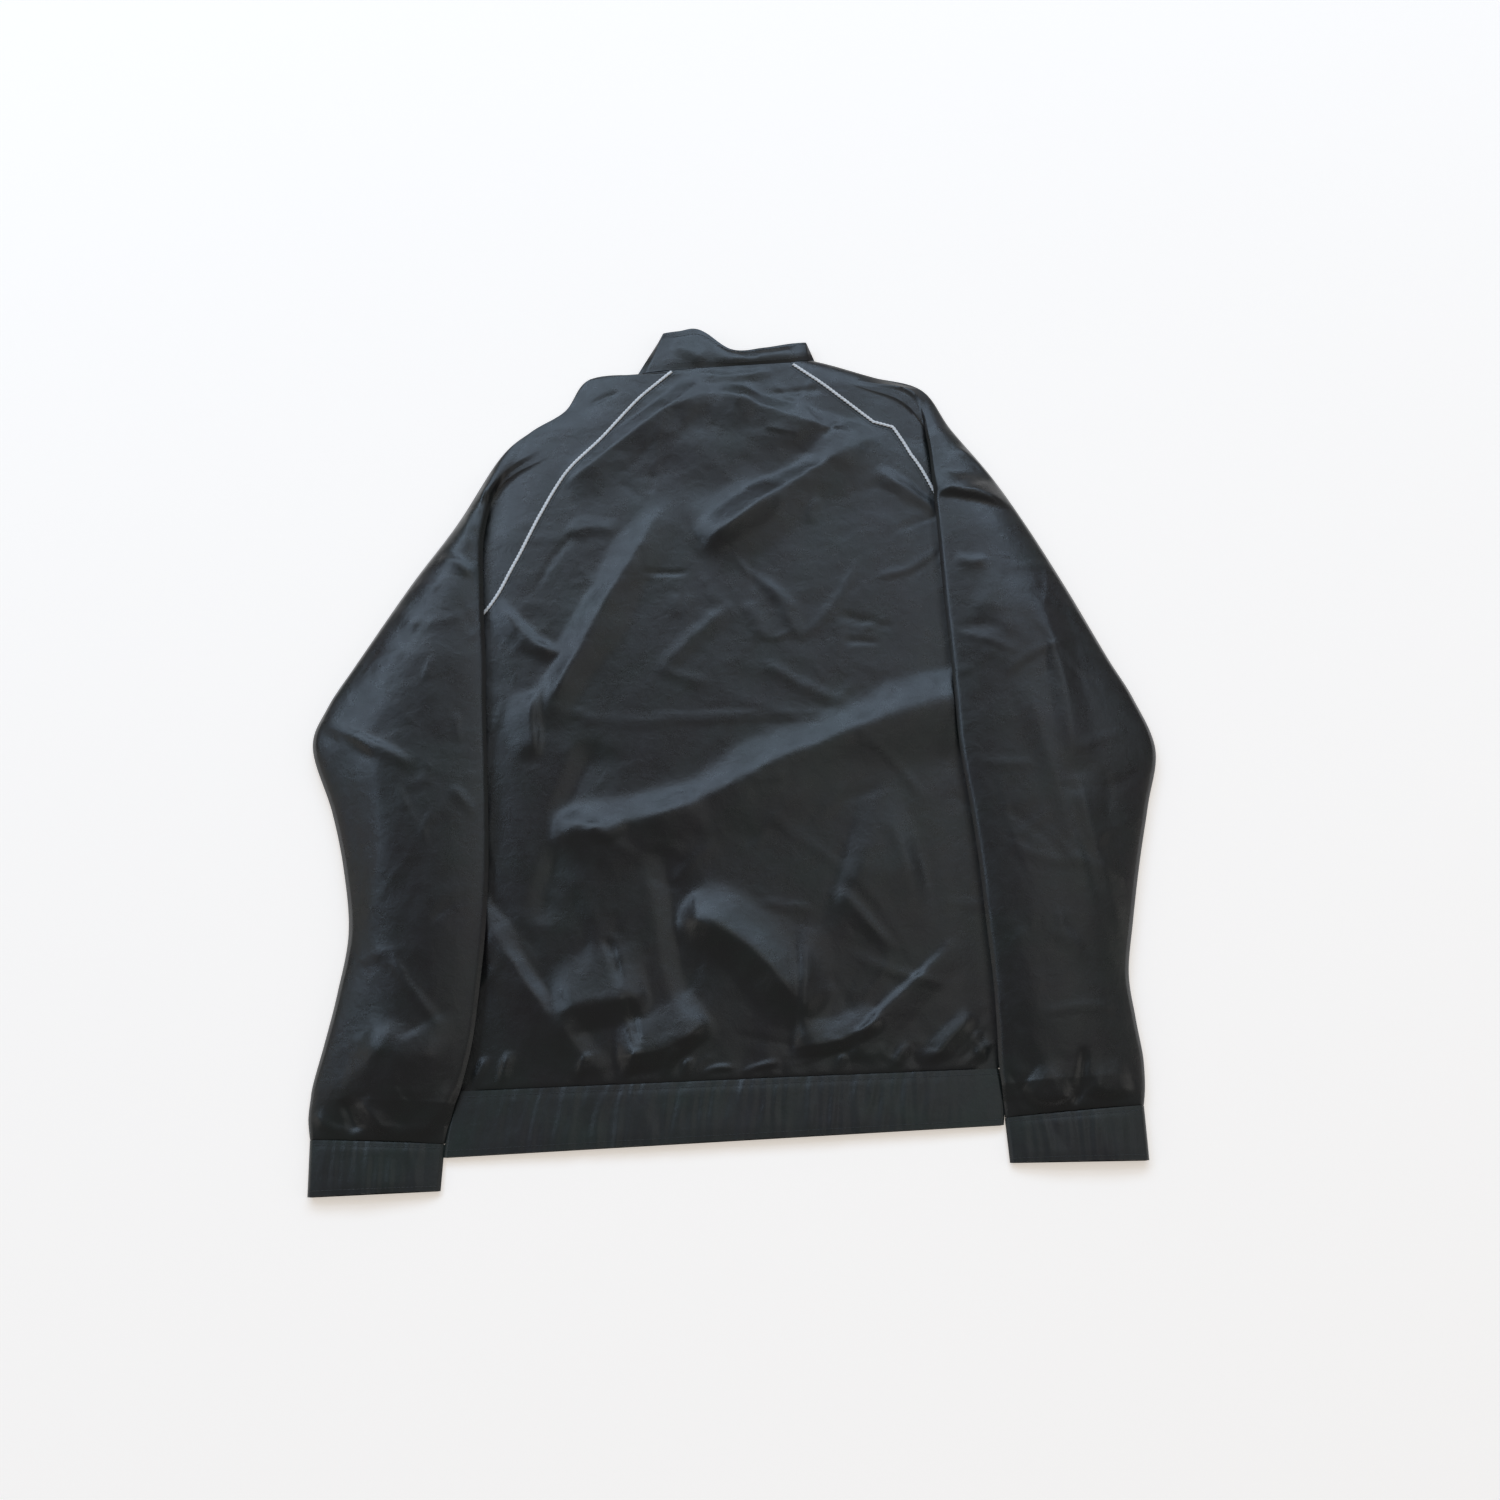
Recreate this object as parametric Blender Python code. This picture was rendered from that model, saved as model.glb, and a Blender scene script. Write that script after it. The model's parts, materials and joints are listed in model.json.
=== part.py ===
"""Half-zip windbreaker lying flat with its back up, its sleeves laid down along its sides.

Lengths are millimetres until a mesh is made. X runs across the garment and Y from hem to neck, both
measured from the middle of the hem. Z is up from the surface that the garment lies on.
Each piece of cloth is made from the points of its outer face and thickened inwards.
"""
import math

import bmesh
import bpy
import numpy as np
from mathutils import Vector

MM = 0.001                  # metres in a millimetre

WALL = 1.2                  # cloth with its seam allowances
BAND_WALL = 1.8             # casing with its elastic
SEAM_GAP = 0.4              # between two pieces sewn edge to edge
PLY_GAP = 0.3               # between two layers that lie on each other
EDGE_TOP = 2 * WALL + PLY_GAP   # top of the garment at an edge pressed flat

HEM_SLANT = 0.05            # rise of the hem for each millimetre to the right
HEM_TOP = 6.8               # top of the gathered hem band
HEM_GATHERS = 46
CUFF_GATHERS = 11
GATHER_DEPTH = 0.9
BAND_EDGE_TOP = 5.0         # top of the hem band at its ends
BAND_ROWS = ((0.0, 0.0), (0.2, 0.7), (0.8, 0.7), (1.0, 0.0))   # share of the depth, swell
ARCH_POWER = 0.75           # squareness of the arch over a tube that lies flat

COLLAR_BACK_TOP = 11.0
FOLDED_SEAM_GAP = 0.8       # more room at the neck seam where the collar folds over
NECK_MIDDLE = (-8.0, 765.0)
NECK_LIFT = 3.6             # room under the collar for the slider and its pull tab
NECK_LIFT_REACH = (95.0, 155.0)   # the lift is whole up to the first distance, gone at the second
FRONT_NECK_DROP = 17.0
FRONT_NECK_ROWS = 6         # rows over which the front panel takes up the curve of its neck

PIPING_WIDTH = 4.0
PIPING_THICKNESS = 0.9
PIPING_LIFT = 0.75          # its underside above the seam
PIPING_END = 6.6            # station where it ends, near the armpit

FOLD_GAP = 2.0              # under the pleat of a sleeve at its valley
EDGE_GAP = 3.2              # under the pleat at the inner edge of the sleeve
EDGE_ROLL = 4.7             # height of the rolled inner edge
EDGE_ROLL_INSET = 2.6

ZIP_X = -4.0
ZIP_TAPE_GAP = 0.5          # between the front panel and the tape on its inside
ZIP_SLIT = 10.0             # width of the slit that the coil shows in
TAPE_WIDTH = 28.0
TAPE_THICKNESS = 0.9
COIL_WIDTH = 5.0
COIL_DEPTH = 1.5            # below the tape
COLLAR_TOP_Y = 772.0        # top of the front collar at the zip

ARMPIT = 7                  # station at which the sleeve closes to a tube
NECK_ROWS = 2 * ARMPIT + 1
SIDE_ROWS = 22
BACK_COLUMNS = 31
HALF_FRONT_COLUMNS = 6
SLIT_ROWS = 13              # rows of the front panel that the slit runs through
ARM_ROWS = 21


def table(columns, *rows):
    """Return the columns of a small table by name."""
    return dict(zip(columns.split(), np.array(rows, dtype=float).T))


# Back raglan seam, valley of the shoulder pleat and front raglan seam, from the neck to the armpit.
SEAMS = {
    "left": table(
        "back_x back_y valley_x valley_y front_x front_y",
        (-62, 753, -75, 752, -72, 738),
        (-96, 719, -115, 728, -95, 706),
        (-134, 672, -150, 688, -126, 662),
        (-166, 633, -184, 655, -157, 618),
        (-188, 588, -227, 625, -189, 573),
        (-209, 536, -256, 562, -222, 526),
        (-236, 482, -276, 496, -256, 478),
        (-290, 430, -294, 431, -290, 430)),
    "right": table(
        "back_x back_y valley_x valley_y front_x front_y",
        (54, 762, 66, 765, 62, 743),
        (94, 729, 112, 739, 88, 712),
        (136, 693, 166, 718, 120, 671),
        (172, 656, 195, 675, 152, 629),
        (195, 610, 226, 622, 186, 585),
        (212, 560, 250, 568, 220, 539),
        (238, 505, 273, 504, 255, 492),
        (290, 444, 294, 445, 290, 444)),
}

# Where the right back seam is pushed up in a kink: stations, and its rise towards the neck there.
KINK = table("station rise", (2.0, 0.0), (2.5, 13.0), (3.0, 0.0))

# Inner edge and outer edge of each sleeve as it lies, from the neck to the cuff. puff is 1 where the
# sleeve stands up by itself, crown its height there over its edges, roll half the height of its
# outer edge, and on_body 1 where it lies over the body.
SLEEVES = {
    "left": table(
        "edge_x edge_y outer_x outer_y puff crown roll on_body",
        (-84, 752, -100, 751, 0.0, 0, 1.4, 1),
        (-125, 735, -149, 748, 0.0, 0, 1.4, 1),
        (-156, 696, -171, 711, 0.0, 0, 1.4, 1),
        (-191, 663, -203, 687, 0.0, 1, 1.4, 1),
        (-228, 630, -232, 655, 0.5, 3, 2.4, 1),
        (-240, 567, -268, 580, 1.0, 6, 3.5, 1),
        (-236, 498, -306, 514, 1.0, 9, 4.5, 1),
        (-229, 430, -350, 430, 1.0, 11, 5.0, 1),
        (-226, 386, -372, 386, 1.0, 11, 5.0, 1),
        (-222, 341, -381, 346, 1.0, 11, 5.0, 1),
        (-217, 285, -357, 285, 1.0, 11, 5.0, 1),
        (-213, 229, -341, 231, 1.0, 11, 5.0, 1),
        (-212, 175, -331, 175, 1.0, 11, 5.0, 1),
        (-214, 121, -335, 123, 1.0, 10, 5.0, 1),
        (-217, 80, -341, 82, 1.0, 10, 5.0, 1),
        (-224, 43, -347, 48, 1.0, 9, 4.6, 1),
        (-228, 30, -348, 34, 1.0, 8, 4.4, 1),
        (-232, 14, -348, 18, 1.0, 6, 4.2, 0.3),
        (-235, -1, -345, 2, 1.0, 3, 3.8, 0)),
    "right": table(
        "edge_x edge_y outer_x outer_y puff crown roll on_body",
        (72, 766, 79, 768, 0.0, 0, 1.4, 1),
        (118, 743, 135, 752, 0.0, 0, 1.4, 1),
        (176, 728, 186, 736, 0.4, 0, 1.8, 1),
        (188, 672, 213, 689, 1.0, 3, 2.6, 1),
        (191, 614, 249, 635, 1.0, 5, 3.2, 1),
        (193, 560, 281, 576, 1.0, 8, 4.0, 1),
        (195, 501, 314, 507, 1.0, 10, 4.6, 1),
        (198, 438, 345, 437, 1.0, 11, 5.0, 1),
        (200, 394, 365, 395, 1.0, 11, 5.0, 1),
        (202, 345, 380, 345, 1.0, 11, 5.0, 1),
        (208, 291, 368, 292, 1.0, 11, 5.0, 1),
        (213, 237, 355, 238, 1.0, 11, 5.0, 1),
        (216, 184, 344, 185, 1.0, 11, 5.0, 1),
        (219, 138, 336, 140, 1.0, 10, 5.0, 1),
        (220, 98, 338, 102, 1.0, 10, 5.0, 1),
        (220, 64, 341, 72, 1.0, 9, 4.6, 1),
        (221.5, 46, 341, 55, 1.0, 8, 4.4, 1),
        (222.5, 32, 340, 42, 1.0, 6, 4.2, 0.3),
        (223, 20, 338, 30, 1.0, 3, 3.8, 0)),
}

# Side seam of the body as it lies, from the armpit to the hem band.
SIDES = {
    "left": table(
        "x y",
        (-290, 430), (-291, 330), (-289, 230), (-283, 150), (-265, 95), (-241, 60), (-226.5, 41)),
    "right": table(
        "x y",
        (290, 444), (291, 340), (289, 240), (283, 160), (266, 112), (241, 81), (220.5, 60)),
}

# Ends of the hem band and lower corners of the cuffs, as they lie.
HEM_ENDS = {
    "left": table("x y", (-234.3, -12), (-226.5, 41)),
    "right": table("x y", (221, 14), (220.5, 60)),
}
CUFF_CORNERS = {
    "left": table("x y", (-235.5, -38), (-342, -43)),
    "right": table("x y", (225, -16), (338, -14)),
}

# Height that the back rises over its pressed edges in the middle, up the garment.
PUFF = table("y rise", (50, 3.8), (100, 6), (200, 8), (420, 9), (600, 9), (700, 7.5), (770, 6))

PUFF_FADE = 4               # powers with which the rise and the folds die out towards the edges
FOLD_FADE = 8
COVERED_FROM = 188.0        # half width past which the sleeves press the folds of the back flat
COVERED_BLEND = 32.0
COVERED_UP_TO = 660.0

# Largest folds of the back: three points on the crest, its height, and how far it reaches on the
# side towards the hem and on the side towards the neck.
BACK_FOLDS = table(
    "x1 y1 x2 y2 x3 y3 height near far",
    (190, 377, 10, 308, -139, 263, 7, 34, 60),
    (146, 667, 86, 610, 10, 548, 6, 28, 42),
    (-77, 577, -126, 491, -180, 392, 5, 30, 36),
    (0, 745, 53, 705, 129, 667, 4, 20, 28),
    (-36, 732, -96, 693, -150, 630, 4, 20, 26),
    (-37, 188, 27, 155, 58, 106, 5, 22, 34),
    (-205, 190, -171, 127, -126, 76, 4, 22, 28),
    (186, 160, 144, 129, 101, 76, 4, 20, 26),
    (-141, 112, -115, 160, -84, 120, 4, 22, 26))

# Largest folds of the sleeves, in the same columns.
SLEEVE_FOLDS = {
    "left": table(
        "x1 y1 x2 y2 x3 y3 height near far",
        (-350, 372, -322, 305, -306, 210, 4, 18, 26),
        (-330, 338, -290, 322, -250, 296, 2.5, 14, 18),
        (-320, 90, -285, 60, -262, 28, 3, 16, 18)),
    "right": table(
        "x1 y1 x2 y2 x3 y3 height near far",
        (210, 612, 238, 602, 262, 596, 3, 14, 18),
        (286, 500, 293, 414, 298, 330, 3.5, 20, 22),
        (262, 80, 285, 60, 310, 34, 3, 16, 18)),
}

# Collar as a band laid in a C, from the left side of the zip over the back to its right side. Its neck
# seam follows base, its upper edge top. back is 1 on the back layer, bulge how far that arches up.
COLLAR = table(
    "base_x base_y top_x top_y back bulge",
    (-9.5, 0, -9.5, 772, 0, 0),
    (-40, 0, -38, 779, 0, 0),
    (-72, 738, -58, 788, 0, 0),
    (-100, 751, -76, 797, 0.5, 0),
    (-62, 753, -58, 801.5, 1, 4),
    (-33, 755.2, -37, 803, 1, 6),
    (-4, 757.5, -5, 778.5, 1, 7),
    (25, 759.8, 27, 781, 1, 9),
    (54, 762, 55, 786, 1, 8),
    (79.5, 768, 72, 787, 0.5, 0),
    (62, 743, 60, 782, 0, 0),
    (32, 0, 31, 777, 0, 0),
    (1.5, 0, 1.5, 772.5, 0, 0))

# Slider and pull tab. The slider's plates hold the end of the coil between them, and its bridge lies
# below, on the outside of the collar.
SLIDER_START = 762.0
SLIDER_END = 773.2
SLIDER_WIDTH = 9.0
PLATE = 0.9
RUNNING_GAP = 0.3
BRIDGE_START = 764.0
BRIDGE_END = 770.4
BRIDGE_WIDTH = 1.8
BRIDGE_BAR = 0.8
BRIDGE_ROOM = 1.3           # inside the bridge, for the crossbar of the pull tab
BRIDGE_FOOT = 1.2
CROSSBAR = 0.7
CROSSBAR_Y = 765.9
TAB_ARM = 0.8
TAB_ARM_LENGTH = 5.6
TAB_LENGTH = 22.0
TAB_WIDTH = 7.0
TAB_THICKNESS = 1.0


def on_curve(values, station):
    """Value of a table's column at a station, on a smooth curve through its rows."""
    station = np.clip(np.asarray(station, dtype=float), 0, len(values) - 1)
    row = np.minimum(station.astype(int), len(values) - 2)
    part = station - row
    before = values[np.maximum(row - 1, 0)]
    start = values[row]
    end = values[row + 1]
    after = values[np.minimum(row + 2, len(values) - 1)]
    bend = 2 * before - 5 * start + 4 * end - after
    twist = 3 * (start - end) + after - before
    return 0.5 * (2 * start + (end - before) * part + bend * part ** 2 + twist * part ** 3)


def on_lines(values, station):
    """Value of a table's column at a station, on straight lines between its rows."""
    return np.interp(station, np.arange(len(values)), values)


def smooth_step(value):
    """Rise smoothly from 0 to 1 as the value does."""
    value = np.clip(value, 0.0, 1.0)
    return value * value * (3 - 2 * value)


def mix(start, end, share):
    """Blend two values or points."""
    return start + (end - start) * share


def side_sign(side):
    return -1.0 if side == "left" else 1.0


def neck_lift(x, y):
    """Height of the underside, which rises off the surface below the collar."""
    whole, gone = NECK_LIFT_REACH
    distance = np.hypot(x - NECK_MIDDLE[0], y - NECK_MIDDLE[1])
    return NECK_LIFT * smooth_step((gone - distance) / (gone - whole))


def fold_height(folds, x, y):
    """Height that a table of folds adds at a place."""
    total = np.zeros(np.broadcast(x, y).shape)
    for x1, y1, x2, y2, x3, y3, height, near, far in zip(*folds.values()):
        nearest = np.full(total.shape, np.inf)
        above = np.zeros(total.shape)
        for ax, ay, bx, by in ((x1, y1, x2, y2), (x2, y2, x3, y3)):
            length2 = (bx - ax) ** 2 + (by - ay) ** 2
            share = np.clip(((x - ax) * (bx - ax) + (y - ay) * (by - ay)) / length2, 0, 1)
            off_x = x - mix(ax, bx, share)
            off_y = y - mix(ay, by, share)
            distance = np.hypot(off_x, off_y)
            above = np.where(distance < nearest, off_y > 0, above)
            nearest = np.minimum(distance, nearest)
        reach = np.where(above, far, near)
        total = total + height * np.exp(-(nearest / reach) ** 2)
    return total


def seam_line(side, seam, stations):
    """X and Y of a seam of the raglan sleeve at stations down from the neck."""
    x = on_curve(SEAMS[side][seam + "_x"], stations)
    y = on_curve(SEAMS[side][seam + "_y"], stations)
    if side == "right" and seam == "back":
        y = y + np.interp(stations, KINK["station"], KINK["rise"])
    return x, y


def body_outline(side):
    """Half width of the body and shoulder at heights that rise, for np.interp."""
    seams, sleeve = SEAMS[side], SLEEVES[side]
    stations = np.linspace(0, len(SIDES[side]["x"]) - 1, 2 * SIDE_ROWS)
    edge_x = on_curve(SIDES[side]["x"], stations)
    edge_y = on_curve(SIDES[side]["y"], stations)
    folded = sleeve["puff"][:ARMPIT] >= 0.5
    shoulder_x = np.where(folded, seams["valley_x"][:ARMPIT], sleeve["outer_x"][:ARMPIT])
    shoulder_y = np.where(folded, seams["valley_y"][:ARMPIT], sleeve["outer_y"][:ARMPIT])
    x = np.concatenate((edge_x[::-1], shoulder_x[::-1]))
    y = np.concatenate((edge_y[::-1], shoulder_y[::-1]))
    return y, np.abs(x)


OUTLINES = {side: body_outline(side) for side in SEAMS}


def back_height(x, y):
    """Height of the outer face of the back, and of the sleeves where they continue it."""
    half = np.where(x < 0, np.interp(y, *OUTLINES["left"]), np.interp(y, *OUTLINES["right"]))
    share = np.clip(np.abs(x) / half, 0, 1)
    rise = np.interp(y - HEM_SLANT * x, PUFF["y"], PUFF["rise"])
    covered = smooth_step((np.abs(x) - COVERED_FROM) / COVERED_BLEND)
    covered = covered * smooth_step((COVERED_UP_TO - y) / (2 * COVERED_BLEND))
    folds = fold_height(BACK_FOLDS, x, y) * (1 - covered) * (1 - share ** FOLD_FADE)
    return neck_lift(x, y) + EDGE_TOP + rise * (1 - share ** PUFF_FADE) + folds


def material(name, colour, roughness, metallic=0.0):
    """One Principled material for one piece."""
    made = bpy.data.materials.new(name)
    made.use_nodes = True
    made.diffuse_color = (*colour, 1.0)
    shader = made.node_tree.nodes["Principled BSDF"]
    shader.inputs["Base Color"].default_value = (*colour, 1.0)
    shader.inputs["Roughness"].default_value = roughness
    shader.inputs["Metallic"].default_value = metallic
    return made


NYLON = (0.030, 0.036, 0.038)
ELASTIC = (0.028, 0.036, 0.038)
PALE = (0.72, 0.73, 0.74)
TAPE = (0.020, 0.022, 0.024)
ENAMEL = (0.030, 0.032, 0.035)


def add_object(name, vertices, faces, colour, roughness, metallic=0.0, sharp=40, origin=(0, 0, 0)):
    """Make an object from points in millimetres."""
    mesh = bpy.data.meshes.new(name)
    mesh.from_pydata([(Vector(point) - Vector(origin)) * MM for point in vertices], [], faces)
    mesh.shade_smooth()
    mesh.set_sharp_from_angle(angle=math.radians(sharp))
    mesh.materials.append(material(name, colour, roughness, metallic))
    made = bpy.data.objects.new(name, mesh)
    made.location = Vector(origin) * MM
    bpy.context.collection.objects.link(made)
    return made


def cloth(name, rows, wall, colour, roughness, tube_from=None, slit=None, flip=False):
    """Make a wall of cloth whose outer face runs through rows of points.

    Rows from tube_from on close to a ring, with their last point left out. The slit is a pair, the
    column to its left and the number of rows that it runs through. Flip turns the outer face over.
    """
    vertices = []
    numbers = []
    for index, row in enumerate(rows):
        tube = tube_from is not None and index >= tube_from
        kept = row[:-1] if tube else row
        first = len(vertices)
        vertices.extend(kept)
        row_numbers = list(range(first, first + len(kept)))
        numbers.append(row_numbers + [first] if tube else row_numbers)
    faces = []
    for index, (lower, upper) in enumerate(zip(numbers, numbers[1:])):
        for column in range(len(lower) - 1):
            if slit and column == slit[0] and index < slit[1]:
                continue
            face = [lower[column], lower[column + 1], upper[column + 1], upper[column]]
            faces.append(face[::-1] if flip else face)
    made = add_object(name, vertices, faces, colour, roughness)
    thicken = made.modifiers.new("thickness", "SOLIDIFY")
    thicken.thickness = wall * MM
    thicken.offset = -1.0
    return made


def seam_stations():
    return np.linspace(0, ARMPIT, NECK_ROWS)


def side_stations(side):
    """Stations of the rows below the armpit along the side seam."""
    return np.linspace(0, len(SIDES[side]["x"]) - 1, SIDE_ROWS + 1)[1:]


def panel_edge(side, seam):
    """Points down one side of a body panel, along its raglan seam and then its side seam."""
    neck = seam_stations()
    below = side_stations(side)
    seam_x, seam_y = seam_line(side, seam, neck)
    x = np.concatenate((seam_x, on_curve(SIDES[side]["x"], below)))
    y = np.concatenate((seam_y, on_curve(SIDES[side]["y"], below)))
    return x, y


def build_back_panel():
    left_x, left_y = panel_edge("left", "back")
    right_x, right_y = panel_edge("right", "back")
    across = np.linspace(0, 1, BACK_COLUMNS)
    rows = []
    for row in range(len(left_x)):
        x = mix(left_x[row], right_x[row], across)
        y = mix(left_y[row], right_y[row], across)
        rows.append(np.column_stack((x, y, back_height(x, y))))
    cloth("back_panel", rows, WALL, NYLON, 0.42, flip=True)


def front_neck_drop(share):
    """How far the front neck seam hangs below a straight line, along its width."""
    return FRONT_NECK_DROP * 4 * share * (1 - share)


def front_neck_y(x):
    """Height of the front neck seam."""
    left, right = SEAMS["left"], SEAMS["right"]
    share = (x - left["front_x"][0]) / (right["front_x"][0] - left["front_x"][0])
    return mix(left["front_y"][0], right["front_y"][0], share) - front_neck_drop(share)


def build_front_panel():
    left_x, left_y = panel_edge("left", "front")
    right_x, right_y = panel_edge("right", "front")
    half = np.linspace(0, 1, HALF_FRONT_COLUMNS)
    rows = []
    for row in range(len(left_x)):
        left = mix(left_x[row], ZIP_X - ZIP_SLIT / 2, half)
        right = mix(ZIP_X + ZIP_SLIT / 2, right_x[row], half)
        x = np.concatenate((left, right))
        share = (x - left_x[row]) / (right_x[row] - left_x[row])
        neck_curve = front_neck_drop(share) * max(0.0, 1 - row / FRONT_NECK_ROWS)
        y = mix(left_y[row], right_y[row], share) - neck_curve
        rows.append(np.column_stack((x, y, neck_lift(x, y))))
    slit = (HALF_FRONT_COLUMNS - 1, SLIT_ROWS - 1)
    cloth("front_panel", rows, WALL, NYLON, 0.42, slit=slit)


def inset_path(start, end, shares, start_inset, end_inset):
    """Points on a line between two points, kept in from its ends."""
    length = np.hypot(*(end - start))
    first = min(start_inset, 0.25 * length) / length
    last = 1 - min(end_inset, 0.25 * length) / length
    return start + np.outer(mix(first, last, shares), end - start)


LYING_SHARES = np.array([0.0, 0.35, 0.7, 0.94])     # from the back seam to the valley
RISING_SHARES = np.array([0.0, 0.35, 0.7, 0.85])    # from the floor over the edge of the body
RISING_HEIGHTS = np.array([0.12, 0.5, 0.96, 1.0])
PLEAT_SHARES = np.array([0.2, 0.6, 1.0])
TOP_SHARES = np.array([0.0, 0.12, 0.26, 0.42, 0.58, 0.74, 0.88, 1.0])
FLOOR_SHARES = np.array([0.0, 0.35, 0.7, 1.0])


def sleeve_keys(side, station):
    """Seam, valley, inner edge, outer edge and front seam of one row of a sleeve, in plan."""
    sleeve = SLEEVES[side]
    sign = side_sign(side)
    edge = np.array([on_curve(sleeve["edge_x"], station), on_curve(sleeve["edge_y"], station)])
    outer = np.array([on_curve(sleeve["outer_x"], station), on_curve(sleeve["outer_y"], station)])
    if station <= ARMPIT:
        back, valley, front = (np.array(seam_line(side, seam, station))
                               for seam in ("back", "valley", "front"))
        apart = np.array([sign * SEAM_GAP, 0.0])
        return back + apart, valley + apart, edge, outer, front + apart
    body_edge = np.interp(edge[1], *OUTLINES[side])
    seam_x = max(body_edge + 8, abs(edge[0]) + 12)
    valley_x = max(body_edge - 6, abs(edge[0]) + 5)
    slope = (outer - edge) / abs(outer[0] - edge[0])
    seam = edge + slope * (seam_x - abs(edge[0]))
    valley = edge + slope * (valley_x - abs(edge[0]))
    return seam, valley, edge, outer, seam


def sleeve_row(side, station):
    """One row round a sleeve: from the back seam over the pleat and the arm, and back below."""
    sleeve = SLEEVES[side]
    puff, crown, roll, on_body = (on_lines(sleeve[name], station)
                                  for name in ("puff", "crown", "roll", "on_body"))
    seam, valley, edge, outer, front = sleeve_keys(side, station)
    closed = station > ARMPIT

    shares = RISING_SHARES if closed else LYING_SHARES
    seam_plan = mix(seam, valley, shares[:, None])
    valley_z = on_body * (back_height(*valley) + FOLD_GAP * puff)
    seam_z = valley_z * RISING_HEIGHTS if closed else back_height(*seam_plan.T)

    pleat_plan = inset_path(valley, edge, PLEAT_SHARES, 0.0, EDGE_ROLL_INSET)
    pleat_gap = mix(FOLD_GAP, EDGE_GAP, PLEAT_SHARES) * puff
    pleat_z = on_body * (back_height(*pleat_plan.T) + pleat_gap)

    top_plan = inset_path(edge, outer, TOP_SHARES, EDGE_ROLL_INSET, 0.8 * roll)
    edge_top = on_body * (back_height(*edge) + EDGE_GAP) + EDGE_ROLL
    arm_z = mix(edge_top, 2 * roll, TOP_SHARES) + crown * np.sin(np.pi * TOP_SHARES) ** ARCH_POWER
    arm_z = arm_z + fold_height(SLEEVE_FOLDS[side], *top_plan.T) * np.sin(np.pi * TOP_SHARES)
    top_z = mix(back_height(*top_plan.T), arm_z, puff)
    edge_z = mix(back_height(*edge), edge_top - EDGE_ROLL / 2, puff)

    floor_plan = inset_path(outer, front, FLOOR_SHARES, 0.8 * roll, 0.0)
    plan = np.vstack((seam_plan, valley, pleat_plan, edge, top_plan, outer, floor_plan))
    outer_z = roll + neck_lift(*outer)
    floor_z = neck_lift(*floor_plan.T)
    if closed:
        floor_z[-1] = seam_z[0]
    z = np.concatenate((seam_z, [valley_z], pleat_z, [edge_z], top_z, [outer_z], floor_z))
    return np.column_stack((plan, z))


def build_sleeve(side):
    last = len(SLEEVES[side]["edge_x"]) - 1
    stations = np.concatenate((seam_stations(), np.linspace(ARMPIT, last, ARM_ROWS + 1)[1:]))
    rows = [sleeve_row(side, station) for station in stations]
    cloth("sleeve_" + side, rows, WALL, NYLON, 0.42, tube_from=NECK_ROWS, flip=side == "right")


def build_piping(side):
    """A flat strip over the back raglan seam, laid on the two pieces that meet there."""
    stations = np.linspace(0.12, PIPING_END, 2 * NECK_ROWS - 1)
    x, y = seam_line(side, "back", stations)
    along = np.gradient(np.column_stack((x, y)), axis=0)
    across = np.column_stack((-along[:, 1], along[:, 0])) / np.hypot(*along.T)[:, None]
    vertices = []
    for centre, normal in zip(np.column_stack((x, y)), across):
        sides = [centre + normal * offset for offset in (-PIPING_WIDTH / 2, PIPING_WIDTH / 2)]
        seat = [back_height(*point) + PIPING_LIFT for point in sides]
        vertices += [(*sides[0], seat[0]), (*sides[1], seat[1])]
        vertices += [(*mix(sides[1], sides[0], 0.12), seat[1] + PIPING_THICKNESS)]
        vertices += [(*mix(sides[0], sides[1], 0.12), seat[0] + PIPING_THICKNESS)]
    face_outwards(add_object("piping_" + side, vertices, bar_faces(len(stations), 4), PALE, 0.55))


def face_outwards(made):
    """Turn the faces of a closed solid outwards."""
    shape = bmesh.new()
    shape.from_mesh(made.data)
    bmesh.ops.recalc_face_normals(shape, faces=shape.faces)
    shape.to_mesh(made.data)
    shape.free()


def bar_faces(rings, points):
    """Faces of a closed bar through rings of points."""
    faces = [list(range(points))]
    for ring in range(rings - 1):
        for point in range(points):
            after = (point + 1) % points
            low, high = ring * points, (ring + 1) * points
            faces.append([low + point, high + point, high + after, low + after])
    faces.append([(rings - 1) * points + point for point in reversed(range(points))])
    return faces


def band_ring(inner, outer, gathers, edge_z, outer_z, crown, flat_columns):
    """One ring of a gathered band laid flat: over the top with its gathers, and back below."""
    count = 2 * gathers + 1
    shares = np.linspace(0, 1, count)
    top = inset_path(inner, outer, shares, EDGE_ROLL_INSET, EDGE_ROLL_INSET)
    arch = crown * np.sin(np.pi * shares) ** ARCH_POWER
    wave = GATHER_DEPTH * np.where(np.arange(count) % 2, 1.0, -1.0)
    top_z = mix(edge_z, outer_z, shares) + arch + wave * np.minimum(1, 6 * shares * (1 - shares))
    below = inset_path(outer, inner, np.linspace(0, 1, flat_columns), EDGE_ROLL_INSET,
                       EDGE_ROLL_INSET)
    plan = np.vstack((inner, top, outer, below, inner))
    z = np.concatenate(([edge_z / 2], top_z, [outer_z / 2], np.zeros(flat_columns), [edge_z / 2]))
    return np.column_stack((plan, z))


def build_hem_band():
    rows = []
    for height, swell in BAND_ROWS:
        left, right = (np.array([on_lines(end["x"], height), on_lines(end["y"], height)])
                       - np.array([0.0, SEAM_GAP * height]) for end in HEM_ENDS.values())
        crown = HEM_TOP - BAND_EDGE_TOP + swell
        rows.append(band_ring(left, right, HEM_GATHERS, BAND_EDGE_TOP, BAND_EDGE_TOP, crown, 12))
    cloth("hem_band", rows, BAND_WALL, ELASTIC, 0.5, tube_from=0)


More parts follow.
